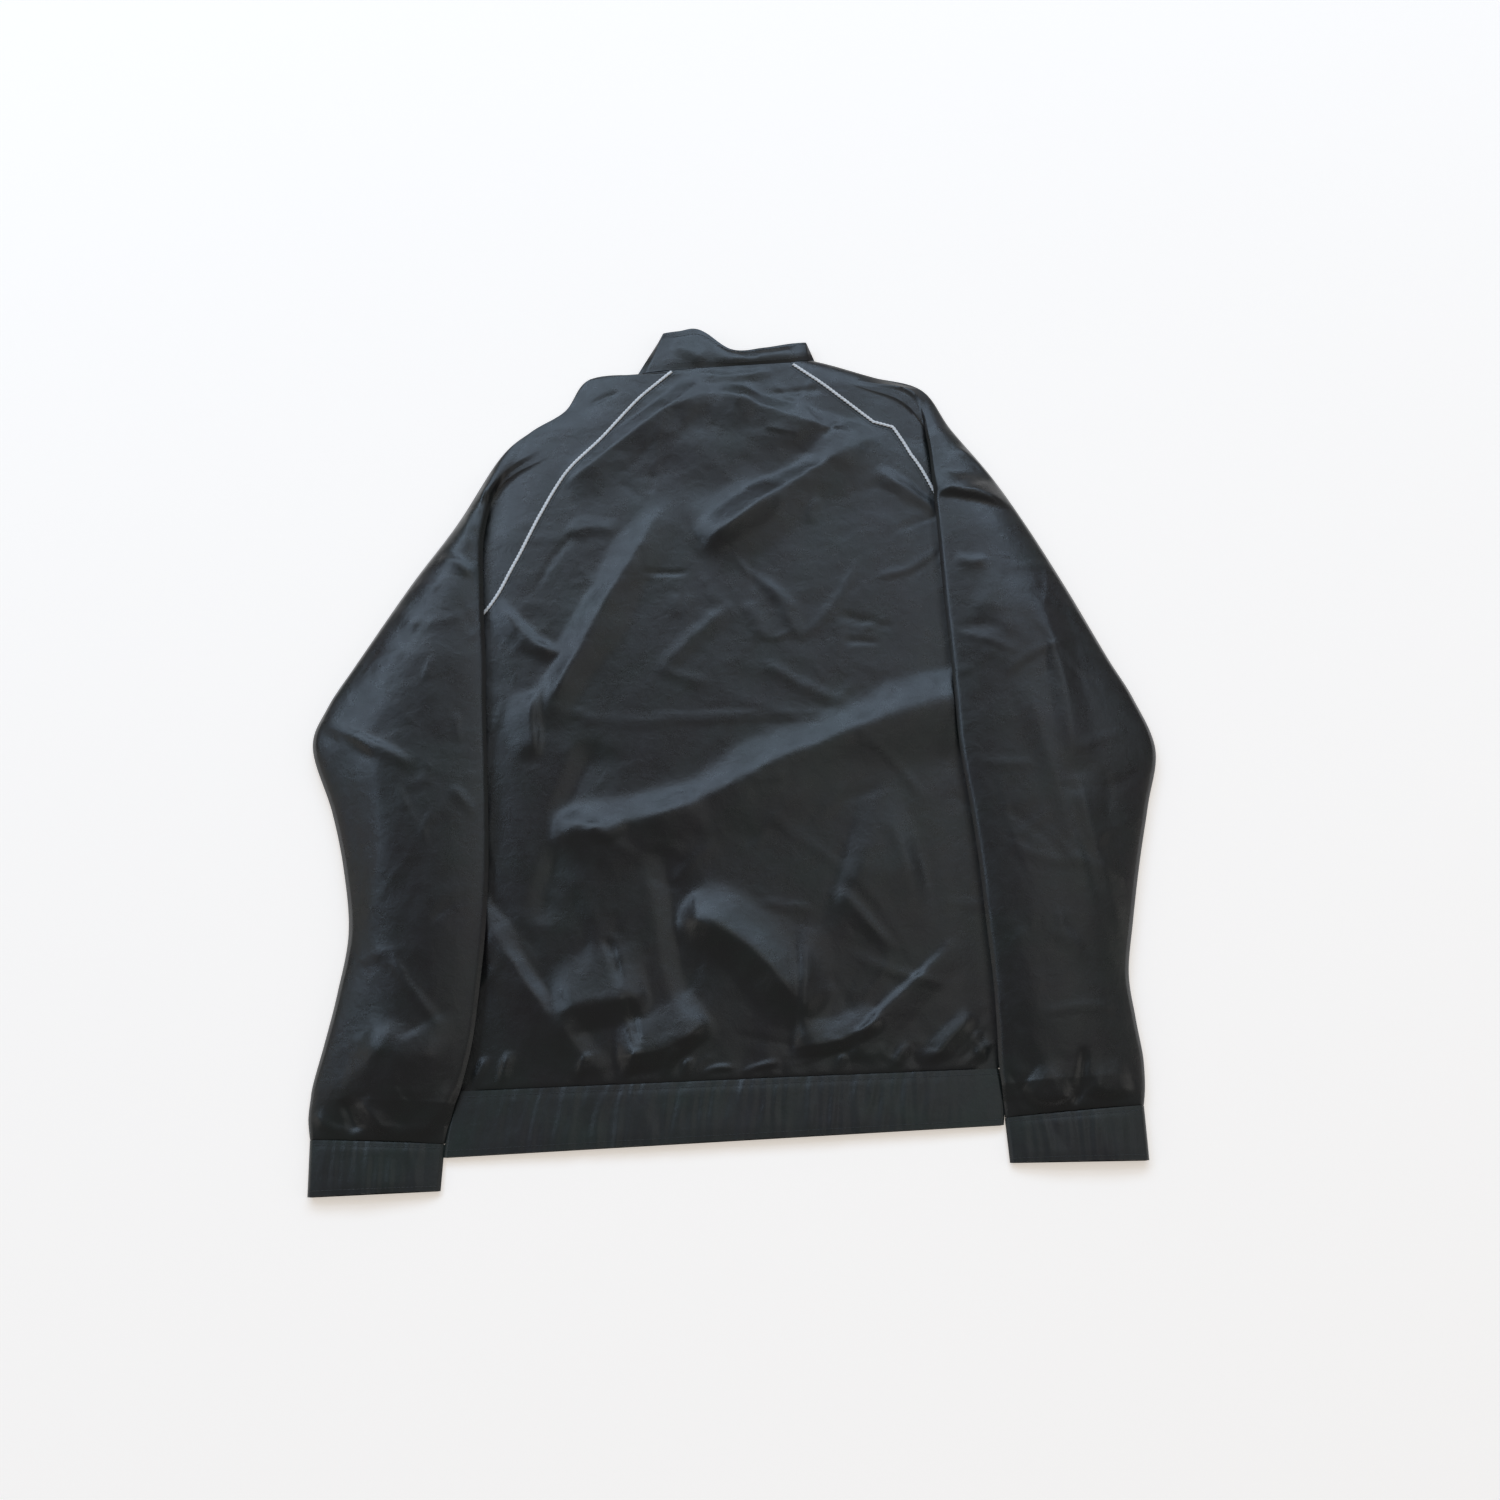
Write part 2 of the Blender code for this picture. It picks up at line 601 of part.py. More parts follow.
def build_cuff(side):
    """An elastic cuff that hangs on from the last row of its sleeve."""
    sleeve = SLEEVES[side]
    inner = np.array([sleeve["edge_x"][-1], sleeve["edge_y"][-1] - SEAM_GAP])
    outer = np.array([sleeve["outer_x"][-1], sleeve["outer_y"][-1] - SEAM_GAP])
    inner_corner, outer_corner = zip(*CUFF_CORNERS[side].values())
    outer_top = 2 * sleeve["roll"][-1]
    rows = []
    for height, swell in BAND_ROWS:
        low_inner = mix(inner, np.array(inner_corner), height)
        low_outer = mix(outer, np.array(outer_corner), height)
        crown = sleeve["crown"][-1] + swell
        rows.append(band_ring(low_inner, low_outer, CUFF_GATHERS, EDGE_ROLL, outer_top, crown, 6))
    cloth("cuff_" + side, rows, WALL, ELASTIC, 0.5, tube_from=0, flip=side == "right")


def build_collar():
    """The collar, a band that starts and ends at the zip and folds over at both shoulders."""
    stations = np.linspace(0, len(COLLAR["back"]) - 1, 4 * (len(COLLAR["back"]) - 1) + 1)
    base_y = np.where(COLLAR["base_y"] > 0, COLLAR["base_y"], front_neck_y(COLLAR["base_x"]))
    height = np.array([0.0, 0.25, 0.5, 0.75, 1.0])
    rows = []
    for station in stations:
        base_x = on_lines(COLLAR["base_x"], station)
        base = np.array([base_x, on_lines(base_y, station)])
        top = np.array([on_curve(COLLAR["top_x"], station), on_curve(COLLAR["top_y"], station)])
        back = on_lines(COLLAR["back"], station)
        gap = SEAM_GAP + FOLDED_SEAM_GAP * 4 * back * (1 - back)
        base = base + (top - base) * gap / np.hypot(*(top - base))
        plan = mix(base, top, height[:, None])
        arch = on_lines(COLLAR["bulge"], station) * np.sin(np.pi * height)
        back_z = mix(back_height(*base), COLLAR_BACK_TOP, height) + arch
        turned = np.clip(4 * back - 1.5, 0, 1)
        rows.append(np.column_stack((plan, mix(NECK_LIFT, back_z, turned))))
    cloth("collar", rows, WALL, NYLON, 0.42, flip=True)


def build_zip_tape():
    """Both tapes and the closed coil: a flat strip with the coil standing out below it."""
    slit_end = on_curve(SEAMS["left"]["front_y"], (SLIT_ROWS - 1) / 2)
    slit_end = mix(slit_end, on_curve(SEAMS["right"]["front_y"], (SLIT_ROWS - 1) / 2), 0.5)
    y = np.linspace(slit_end + 1, COLLAR_TOP_Y - RUNNING_GAP, 24)
    half, coil = TAPE_WIDTH / 2, COIL_WIDTH / 2
    profile = [(-half, 0), (-half, TAPE_THICKNESS), (half, TAPE_THICKNESS), (half, 0),
               (coil, 0), (coil, -COIL_DEPTH), (-coil, -COIL_DEPTH), (-coil, 0)]
    vertices = []
    for place in y:
        seat = zip_seat(place)
        vertices += [(ZIP_X + across, place, seat + up) for across, up in profile]
    face_outwards(add_object("zip_tape", vertices, bar_faces(len(y), len(profile)), TAPE, 0.7))


def zip_seat(y):
    """Underside of the tape, on the inside of the front."""
    return neck_lift(ZIP_X, y) + WALL + ZIP_TAPE_GAP


def plate(name, outline, axis, low, high, look, origin=(0, 0, 0)):
    """A flat plate whose outline, in the two axes other than the given one, is pushed along it."""
    vertices = []
    for level in (low, high):
        vertices += [(*point[:axis], level, *point[axis:]) for point in outline]
    made = add_object(name, vertices, bar_faces(2, len(outline)), *look, sharp=30, origin=origin)
    face_outwards(made)
    return made


def unite(body, addition):
    """Join a second solid into a first, and keep the second as a hidden guide."""
    union = body.modifiers.new(addition.name, "BOOLEAN")
    union.operation = "UNION"
    union.object = addition
    addition.hide_render = True
    addition.display_type = "WIRE"


METAL_LOOK = (ENAMEL, 0.38, 0.6)


def build_slider():
    """The slider: two plates joined past the end of the coil, and a bridge under the outer one."""
    seat = zip_seat(COLLAR_TOP_Y)
    inner = seat + TAPE_THICKNESS + RUNNING_GAP
    outer = seat - COIL_DEPTH - RUNNING_GAP
    nose = COLLAR_TOP_Y + 0.1
    plates = [(SLIDER_START, inner + PLATE), (SLIDER_END, inner + PLATE), (SLIDER_END, outer - PLATE),
              (SLIDER_START, outer - PLATE), (SLIDER_START, outer), (nose, outer), (nose, inner),
              (SLIDER_START, inner)]
    half = SLIDER_WIDTH / 2
    slider = plate("zip_slider", plates, 0, ZIP_X - half, ZIP_X + half, METAL_LOOK)
    roof = outer - PLATE
    floor = roof - BRIDGE_ROOM
    into_plate = roof + PLATE / 3
    bridge = [(BRIDGE_START, into_plate), (BRIDGE_START, floor - BRIDGE_BAR),
              (BRIDGE_END, floor - BRIDGE_BAR), (BRIDGE_END, into_plate),
              (BRIDGE_END - BRIDGE_FOOT, into_plate), (BRIDGE_END - BRIDGE_FOOT, floor),
              (BRIDGE_START + BRIDGE_FOOT, floor), (BRIDGE_START + BRIDGE_FOOT, into_plate)]
    half = BRIDGE_WIDTH / 2
    unite(slider, plate("slider_bridge", bridge, 0, ZIP_X - half, ZIP_X + half, METAL_LOOK))
    return roof - BRIDGE_ROOM / 2


def build_pull_tab(pin_z):
    """The pull tab, whose crossbar turns inside the bridge; it lies towards the hem."""
    origin = (ZIP_X, CROSSBAR_Y, pin_z)
    inside = BRIDGE_WIDTH / 2 + 0.4
    outside = inside + TAB_ARM
    tab_top = CROSSBAR_Y - TAB_ARM_LENGTH
    foot = tab_top - PLATE / 3
    bar = CROSSBAR / 2
    arms = [(-outside, CROSSBAR_Y + bar), (outside, CROSSBAR_Y + bar), (outside, foot), (inside, foot),
            (inside, CROSSBAR_Y - bar), (-inside, CROSSBAR_Y - bar), (-inside, foot), (-outside, foot)]
    arms = [(ZIP_X + x, y) for x, y in arms]
    half = TAB_WIDTH / 2
    corner = 1.2
    end = tab_top - TAB_LENGTH
    outline = [(-half + corner, tab_top), (half - corner, tab_top), (half, tab_top - corner),
               (half, end + corner), (half - corner, end), (-half + corner, end),
               (-half, end + corner), (-half, tab_top - corner)]
    outline = [(ZIP_X + x, y) for x, y in outline]
    half = TAB_THICKNESS / 2
    tab = plate("zip_pull_tab", outline, 2, pin_z - half, pin_z + half, METAL_LOOK, origin)
    unite(tab, plate("tab_arms", arms, 2, pin_z - bar, pin_z + bar, METAL_LOOK))


def recentre():
    """Put the origin on the surface, under the middle of the garment's box."""
    bpy.context.view_layer.update()
    graph = bpy.context.evaluated_depsgraph_get()
    low = np.full(3, np.inf)
    high = np.full(3, -np.inf)
    for made in bpy.context.collection.objects:
        if made.hide_render:
            continue
        shape = made.evaluated_get(graph)
        mesh = shape.to_mesh()
        points = np.array([made.matrix_world @ vertex.co for vertex in mesh.vertices])
        low = np.minimum(low, points.min(axis=0))
        high = np.maximum(high, points.max(axis=0))
        shape.to_mesh_clear()
    shift = Vector(((low[0] + high[0]) / -2, (low[1] + high[1]) / -2, -low[2]))
    for made in bpy.context.collection.objects:
        made.location += shift


for old in list(bpy.data.objects):
    bpy.data.objects.remove(old, do_unlink=True)

build_back_panel()
build_front_panel()
for arm in SLEEVES:
    build_sleeve(arm)
    build_cuff(arm)
    build_piping(arm)
build_hem_band()
build_collar()
build_zip_tape()
build_pull_tab(build_slider())
recentre()
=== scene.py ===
"""Looks of a half-zip windbreaker that lies flat with its back up.

Lengths are millimetres until a mesh is made. X runs across the garment and Y from hem to neck, both
measured from the middle of the hem. Z is up from the surface that the garment lies on. The tables
and the height of the back without its folds are those of the solids. Folds, gathers and seams follow.
"""
import json
import math

import bpy
import numpy as np
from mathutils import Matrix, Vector


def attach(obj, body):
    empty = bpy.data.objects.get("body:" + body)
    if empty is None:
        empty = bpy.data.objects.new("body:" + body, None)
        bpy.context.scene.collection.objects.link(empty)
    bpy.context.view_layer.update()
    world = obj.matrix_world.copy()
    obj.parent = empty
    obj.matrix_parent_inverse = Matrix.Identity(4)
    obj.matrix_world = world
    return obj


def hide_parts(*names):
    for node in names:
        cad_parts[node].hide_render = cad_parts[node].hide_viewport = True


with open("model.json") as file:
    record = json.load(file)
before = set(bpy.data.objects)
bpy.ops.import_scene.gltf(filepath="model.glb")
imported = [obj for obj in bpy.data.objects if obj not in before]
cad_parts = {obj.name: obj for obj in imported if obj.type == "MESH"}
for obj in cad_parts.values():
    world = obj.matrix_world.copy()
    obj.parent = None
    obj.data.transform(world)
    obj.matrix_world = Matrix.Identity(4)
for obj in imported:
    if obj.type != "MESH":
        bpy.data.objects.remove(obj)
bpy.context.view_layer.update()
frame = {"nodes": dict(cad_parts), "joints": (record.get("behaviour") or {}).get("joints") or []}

MM = 0.001                  # metres in a millimetre

# ---------------------------------------------------------------- the solids' own sizes

EDGE_TOP = 2.7              # top of the garment at an edge pressed flat
SEAM_GAP = 0.4
HEM_SLANT = 0.05            # rise of the hem for each millimetre to the right
HEM_TOP = 6.8
HEM_GATHERS = 46
CUFF_GATHERS = 11
BAND_RIPPLE = 0.75          # share of their full depth that the gathers show
BAND_EDGE_TOP = 5.0
BAND_SWELL = ((0.0, 0.2, 0.8, 1.0), (0.0, 0.7, 0.7, 0.0))   # share of a band's depth, swell there
ARCH_POWER = 0.75           # squareness of the arch over a tube that lies flat

COLLAR_BACK_TOP = 11.0
FOLDED_SEAM_GAP = 0.8
NECK_MIDDLE = (-8.0, 765.0)
NECK_LIFT = 3.6
NECK_LIFT_REACH = (95.0, 155.0)
FRONT_NECK_DROP = 17.0

PIPING_LIFT = 0.75
PIPING_END = 6.6

FOLD_GAP = 2.0              # under the pleat of a sleeve at its valley
EDGE_GAP = 3.2              # under the pleat at the inner edge of the sleeve
EDGE_ROLL = 4.7
EDGE_ROLL_INSET = 2.6

ZIP_X = -4.0
ZIP_SLIT = 10.0
ZIP_TAPE_LIFT = 1.7         # underside of the tape above the lowest face of the front panel
ZIP_END = 487.0
COLLAR_TOP_Y = 772.0
CROSSBAR_Y = 765.9          # where the pull tab's hinge lies

ARMPIT = 7                  # station at which the sleeve closes to a tube


def table(columns, *rows):
    """Return the columns of a small table by name."""
    return dict(zip(columns.split(), np.array(rows, dtype=float).T))


# Back raglan seam, valley of the shoulder pleat and front raglan seam, from the neck to the armpit.
SEAMS = {
    "left": table(
        "back_x back_y valley_x valley_y front_x front_y",
        (-62, 753, -75, 752, -72, 738),
        (-96, 719, -115, 728, -95, 706),
        (-134, 672, -150, 688, -126, 662),
        (-166, 633, -184, 655, -157, 618),
        (-188, 588, -227, 625, -189, 573),
        (-209, 536, -256, 562, -222, 526),
        (-236, 482, -276, 496, -256, 478),
        (-290, 430, -294, 431, -290, 430)),
    "right": table(
        "back_x back_y valley_x valley_y front_x front_y",
        (54, 762, 66, 765, 62, 743),
        (94, 729, 112, 739, 88, 712),
        (136, 693, 166, 718, 120, 671),
        (172, 656, 195, 675, 152, 629),
        (195, 610, 226, 622, 186, 585),
        (212, 560, 250, 568, 220, 539),
        (238, 505, 273, 504, 255, 492),
        (290, 444, 294, 445, 290, 444)),
}

# Where the right back seam is pushed up in a kink: stations, and its rise towards the neck there.
KINK = table("station rise", (2.0, 0.0), (2.5, 13.0), (3.0, 0.0))

# Inner edge and outer edge of each sleeve as it lies, from the neck to the cuff. puff is 1 where the
# sleeve stands up by itself, crown its height there over its edges, and roll half the height of its
# outer edge.
SLEEVES = {
    "left": table(
        "edge_x edge_y outer_x outer_y puff crown roll",
        (-84, 752, -100, 751, 0.0, 0, 1.4),
        (-125, 735, -149, 748, 0.0, 0, 1.4),
        (-156, 696, -171, 711, 0.0, 0, 1.4),
        (-191, 663, -203, 687, 0.0, 1, 1.4),
        (-228, 630, -232, 655, 0.5, 3, 2.4),
        (-240, 567, -268, 580, 1.0, 6, 3.5),
        (-236, 498, -306, 514, 1.0, 9, 4.5),
        (-229, 430, -350, 430, 1.0, 11, 5.0),
        (-226, 386, -372, 386, 1.0, 11, 5.0),
        (-222, 341, -381, 346, 1.0, 11, 5.0),
        (-217, 285, -357, 285, 1.0, 11, 5.0),
        (-213, 229, -341, 231, 1.0, 11, 5.0),
        (-212, 175, -331, 175, 1.0, 11, 5.0),
        (-214, 121, -335, 123, 1.0, 10, 5.0),
        (-217, 80, -341, 82, 1.0, 10, 5.0),
        (-224, 43, -347, 48, 1.0, 9, 4.6),
        (-228, 30, -348, 34, 1.0, 8, 4.4),
        (-232, 14, -348, 18, 1.0, 6, 4.2),
        (-235, -1, -345, 2, 1.0, 3, 3.8)),
    "right": table(
        "edge_x edge_y outer_x outer_y puff crown roll",
        (72, 766, 79, 768, 0.0, 0, 1.4),
        (118, 743, 135, 752, 0.0, 0, 1.4),
        (176, 728, 186, 736, 0.4, 0, 1.8),
        (188, 672, 213, 689, 1.0, 3, 2.6),
        (191, 614, 249, 635, 1.0, 5, 3.2),
        (193, 560, 281, 576, 1.0, 8, 4.0),
        (195, 501, 314, 507, 1.0, 10, 4.6),
        (198, 438, 345, 437, 1.0, 11, 5.0),
        (200, 394, 365, 395, 1.0, 11, 5.0),
        (202, 345, 380, 345, 1.0, 11, 5.0),
        (208, 291, 368, 292, 1.0, 11, 5.0),
        (213, 237, 355, 238, 1.0, 11, 5.0),
        (216, 184, 344, 185, 1.0, 11, 5.0),
        (219, 138, 336, 140, 1.0, 10, 5.0),
        (220, 98, 338, 102, 1.0, 10, 5.0),
        (220, 64, 341, 72, 1.0, 9, 4.6),
        (221.5, 46, 341, 55, 1.0, 8, 4.4),
        (222.5, 32, 340, 42, 1.0, 6, 4.2),
        (223, 20, 338, 30, 1.0, 3, 3.8)),
}

# Rows at which a sleeve leaves the body for the surface beside it, and its share on the body there.
LEAVES_BODY = ((16, 17, 18), (1, 0.3, 0))

# Side seam of the body as it lies, from the armpit to the hem band.
SIDES = {
    "left": table(
        "x y",
        (-290, 430), (-291, 330), (-289, 230), (-283, 150), (-265, 95), (-241, 60), (-226.5, 41)),
    "right": table(
        "x y",
        (290, 444), (291, 340), (289, 240), (283, 160), (266, 112), (241, 81), (220.5, 60)),
}

# Ends of the hem band and lower corners of the cuffs, as they lie.
HEM_ENDS = {
    "left": table("x y", (-234.3, -12), (-226.5, 41)),
    "right": table("x y", (221, 14), (220.5, 60)),
}
CUFF_CORNERS = {
    "left": table("x y", (-235.5, -38), (-342, -43)),
    "right": table("x y", (225, -16), (338, -14)),
}

# Height that the back rises over its pressed edges in the middle, up the garment.
PUFF = table("y rise", (50, 3.8), (100, 6), (200, 8), (420, 9), (600, 9), (700, 7.5), (770, 6))

PUFF_FADE = 4               # power with which that rise dies out at the edges
COVERED_UP_TO = 660.0       # the sleeves lie on the back below here
COVER_START = 4.0           # before the inner edge of a sleeve, where the back begins to be pressed flat
COVER_BLEND = 18.0
COVER_FADE = 64.0
GROOVE_DEPTHS = (1.5, 2.6)  # of the back beside the inner edge of the left and of the right sleeve
GROOVE_REACHES = (18.0, 7.0)    # towards the middle of the back, and under the sleeve
GROOVE_BEFORE = 3.0         # its bottom, from the edge of the sleeve
DETAIL_FADE = 10            # power with which the finer folds die out at the edges
HEM_FADE = 15.0             # the larger folds die out over this stretch above the hem seam

# Collar as a band laid in a C, from the left side of the zip over the back to its right side.
COLLAR = table(
    "base_x base_y top_x top_y back bulge",
    (-9.5, 0, -9.5, 772, 0, 0),
    (-40, 0, -38, 779, 0, 0),
    (-72, 738, -58, 788, 0, 0),
    (-100, 751, -76, 797, 0.5, 0),
    (-62, 753, -58, 801.5, 1, 4),
    (-33, 755.2, -37, 803, 1, 6),
    (-4, 757.5, -5, 778.5, 1, 7),
    (25, 759.8, 27, 781, 1, 9),
    (54, 762, 55, 786, 1, 8),
    (79.5, 768, 72, 787, 0.5, 0),
    (62, 743, 60, 782, 0, 0),
    (32, 0, 31, 777, 0, 0),
    (1.5, 0, 1.5, 772.5, 0, 0))

# ---------------------------------------------------------------- folds that are only in the looks

# Creases: three points on the crest, its height (a trough where it is less than 0), and how wide its
# flanks are on the left and on the right of the way from the first point to the last.
CREASE_COLUMNS = "x1 y1 x2 y2 x3 y3 height left right"
BACK_CREASES = table(
    CREASE_COLUMNS,
    # the long ridge across the small of the back
    (-100, 256, 90, 352, 290, 424, 6.2, 28, 50),
    (-165, 270, -110, 266, -20, 292, 5.0, 25, 34),
    (-132, 268, -112, 258, -92, 266, 1.6, 14, 4),
    # pressed line across the back
    (-134, 371, -30, 373, 120, 381, 0.9, 4, 4),
    (-174, 384, -146, 377, -118, 369, 0.9, 4, 4),
    (-156, 274, -140, 312, -124, 352, -2.4, 15, 26),
    # right shoulder blade
    (-38, 540, 46, 612, 154, 686, 5.0, 24, 32),
    (-34, 552, 4, 578, 44, 618, 3.4, 40, 16),
    (134, 640, 166, 616, 200, 590, 1.8, 9, 12),
    # left of the spine
    (-180, 362, -134, 462, -62, 610, 4.8, 21, 24),
    (-228, 498, -192, 456, -160, 436, 3.0, 10, 16),
    (-178, 334, -182, 366, -184, 400, 3.4, 22, 6),
    (-91, 523, -68, 521, -44, 521, -0.8, 4, 4),
    (-72, 416, -38, 454, 2, 494, 1.1, 12, 15),
    (8, 494, 20, 472, 30, 450, 0.7, 8, 9),
    (-74, 424, -48, 414, -22, 404, 0.6, 9, 8),
    (26, 432, 60, 408, 114, 384, 0.9, 5, 9),
    (64, 450, 44, 486, 24, 522, 0.8, 5, 8),
    (-160, 560, -140, 572, -112, 566, 1.0, 12, 9),
    # yoke under the collar
    (-172, 614, -108, 672, -28, 740, 3.3, 18, 34),
    (-24, 728, 50, 698, 140, 662, 3.0, 15, 36),
    (-66, 704, -22, 722, 26, 714, 2.4, 22, 36),
    (-48, 748, -6, 744, 42, 750, 1.0, 7, 9),
    # lower back
    (-50, 196, 14, 158, 68, 96, 8.3, 33, 22),
    (56, 70, 60, 122, 60, 186, 2.6, 6, 22),
    (44, 76, 90, 80, 128, 102, 4.4, 20, 8),
    (98, 62, 120, 99, 196, 174, 2.6, 6, 22),
    (156, 58, 180, 80, 204, 106, 3.4, 13, 10),
    (186, 58, 202, 70, 220, 84, 1.6, 5, 7),
    (-234, 216, -178, 132, -104, 46, 4.2, 13, 28),
    (-152, 102, -114, 113, -68, 122, 6.0, 38, 20),
    (-100, 66, -62, 73, -16, 100, 6.2, 43, 13),
    (-168, 178, -160, 222, -150, 262, -2.0, 14, 26),
    (-38, 96, -50, 180, -66, 256, -2.6, 14, 26),
    (-113, 170, -103, 156, -94, 124, -1.6, 3, 4),
    (-90, 124, -84, 100, -78, 76, -1.8, 5, 5),
    (90, 236, 130, 226, 168, 232, 3.2, 76, 60),
    (90, 214, 112, 188, 140, 155, 1.4, 5, 9),
    # puckers above the hem
    (-58, 46, -55, 60, -48, 78, 2.0, 5, 6),
    (-44, 47, -39, 58, -37, 70, 1.8, 4, 5),
    (-27, 50, -16, 57, 2, 60, 1.7, 5, 4),
    (4, 52, 18, 61, 38, 66, 1.5, 4, 4),
    (-92, 44, -84, 58, -78, 76, 1.8, 6, 5),
    (-124, 42, -126, 56, -120, 74, 1.6, 5, 6),
    (-196, 40, -190, 54, -186, 76, 2.0, 5, 6),
    (-214, 42, -210, 56, -203, 72, 1.8, 4, 5),
    (84, 52, 90, 60, 92, 72, 1.6, 5, 5),
    (132, 54, 137, 66, 149, 80, 1.8, 5, 6),
    (212, 58, 207, 72, 204, 92, 2.0, 5, 6))

ARM_CREASES = {
    "left": table(
        CREASE_COLUMNS,
        (-252, 606, -232, 612, -212, 617, 4.0, 26, 9),
        (-236, 488, -216, 558, -188, 604, -2.0, 8, 8),
        (-283, 537, -262, 530, -240, 514, 1.4, 6, 9),
        (-301, 511, -290, 506, -277, 502, 1.0, 5, 8),
        (-317, 486, -305, 472, -292, 460, 1.4, 8, 8),
        (-378, 377, -349, 357, -280, 321, 2.2, 5, 9),
        (-318, 140, -306, 250, -330, 362, 1.9, 25, 30),
        (-252, 305, -238, 292, -222, 277, 1.2, 5, 8),
        (-291, 158, -271, 127, -234, 85, 1.2, 5, 9),
        (-312, 80, -270, 66, -226, 70, 4.0, 30, 46),
        (-304, 36, -282, 5, -260, 0, 3.0, 10, 9),
        (-264, 0, -245, 16, -225, 46, 3.0, 10, 10),
        (-318, 36, -310, 20, -305, 4, -2.4, 8, 8),
        (-343, 25, -330, 12, -313, 4, 2.2, 8, 7)),
    "right": table(
        CREASE_COLUMNS,
        (182, 612, 226, 606, 268, 599, 5.0, 28, 6),
        (216, 664, 238, 648, 262, 636, 2.4, 10, 12),
        (216, 490, 255, 478, 296, 492, 1.3, 44, 26),
        (220, 438, 254, 458, 284, 436, 0.9, 14, 38),
        (301, 312, 298, 400, 281, 502, 2.4, 13, 20),
        (336, 164, 312, 254, 302, 320, 2.0, 10, 16),
        (206, 536, 222, 530, 238, 532, 1.2, 6, 8),
        (236, 45, 256, 32, 280, 38, 4.0, 34, 8),
        (226, 60, 236, 42, 246, 24, -2.0, 5, 5),
        (292, 78, 285, 45, 279, 22, -2.2, 5, 7),
        (290, 46, 308, 40, 330, 46, 2.8, 20, 7),
        (209, 250, 217, 161, 233, 74, -0.7, 4, 4),
        (262, 420, 286, 300, 322, 130, 1.1, 14, 16)),
}
COLLAR_CREASES = table(
    CREASE_COLUMNS,
    (-32, 805, -14, 784, 16, 762, 1.4, 13, 14),
    (-66, 786, -48, 774, -28, 762, 1.0, 12, 9),
    (18, 772, 38, 772, 60, 778, 0.6, 7, 8))


# ---------------------------------------------------------------- curves and fields


def on_curve(values, station):
    """Value of a table's column at a station, on a smooth curve through its rows."""
    station = np.clip(np.asarray(station, dtype=float), 0, len(values) - 1)
    row = np.minimum(station.astype(int), len(values) - 2)
    part = station - row
    before = values[np.maximum(row - 1, 0)]
    start = values[row]
    end = values[row + 1]
    after = values[np.minimum(row + 2, len(values) - 1)]
    bend = 2 * before - 5 * start + 4 * end - after
    twist = 3 * (start - end) + after - before
    return 0.5 * (2 * start + (end - before) * part + bend * part ** 2 + twist * part ** 3)


def on_lines(values, station):
    """Value of a table's column at a station, on straight lines between its rows."""
    return np.interp(station, np.arange(len(values)), values)


def smooth_step(value):
    """Rise smoothly from 0 to 1 as the value does."""
    value = np.clip(value, 0.0, 1.0)
    return value * value * (3 - 2 * value)


def mix(start, end, share):
    """Blend two values or points."""
    return start + (end - start) * share


def side_sign(side):
    return -1.0 if side == "left" else 1.0


def noise(x, y, size, seed):
    """Smooth noise, mostly between -0.7 and 0.7, whose bumps are about the given size apart."""
    period = 256
    angles = np.random.default_rng(seed).uniform(0, 2 * math.pi, (period, period))
    x, y = np.asarray(x, dtype=float) / size, np.asarray(y, dtype=float) / size
    cell_x, cell_y = np.floor(x).astype(int), np.floor(y).astype(int)
    part_x, part_y = x - cell_x, y - cell_y
    ease_x = part_x ** 3 * (part_x * (6 * part_x - 15) + 10)
    ease_y = part_y ** 3 * (part_y * (6 * part_y - 15) + 10)

    def corner(step_x, step_y):
        angle = angles[(cell_x + step_x) % period, (cell_y + step_y) % period]
        return np.cos(angle) * (part_x - step_x) + np.sin(angle) * (part_y - step_y)

    low = mix(corner(0, 0), corner(1, 0), ease_x)
    high = mix(corner(0, 1), corner(1, 1), ease_x)
    return mix(low, high, ease_y)


CRUMPLE = ((62, 0.4), (31, 0.3), (14, 0.11))   # how far apart its creases are, and their depth


def crumple(x, y, seed):
    """Height of the sharp little creases that thin nylon keeps after it has been folded away."""
    bent_x = x + 30 * noise(x, y, 90, seed) + 7 * noise(x, y, 26, seed + 1)
    bent_y = y + 30 * noise(x, y, 90, seed + 2) + 7 * noise(x, y, 26, seed + 3)
    patches = smooth_step(0.55 + 1.3 * noise(x, y, 130, seed + 4))
    wide, middle, small = (depth * (-2 * np.abs(noise(bent_x, bent_y, size, seed + 5 + number)))
                           for number, (size, depth) in enumerate(CRUMPLE))
    return wide + middle * patches + small * patches


def neck_lift(x, y):
    """Height of the underside, which rises off the surface below the collar."""
    whole, gone = NECK_LIFT_REACH
    distance = np.hypot(x - NECK_MIDDLE[0], y - NECK_MIDDLE[1])
    return NECK_LIFT * smooth_step((gone - distance) / (gone - whole))


FOLD_SCALE = 1.3
CREST_ROUNDING = 0.07       # radius of a crest, as a share of the width of its flank
FOOT_ROUNDING = 0.14
CREASE_STEPS = 8
CREASE_TAPER = 0.3          # share of a crease over which each end dies out
CREASE_END = 2.2            # distance at which it is flat, in widths
CREASE_ROOM = 1.3           # by which the stretch that is worked out is larger than that


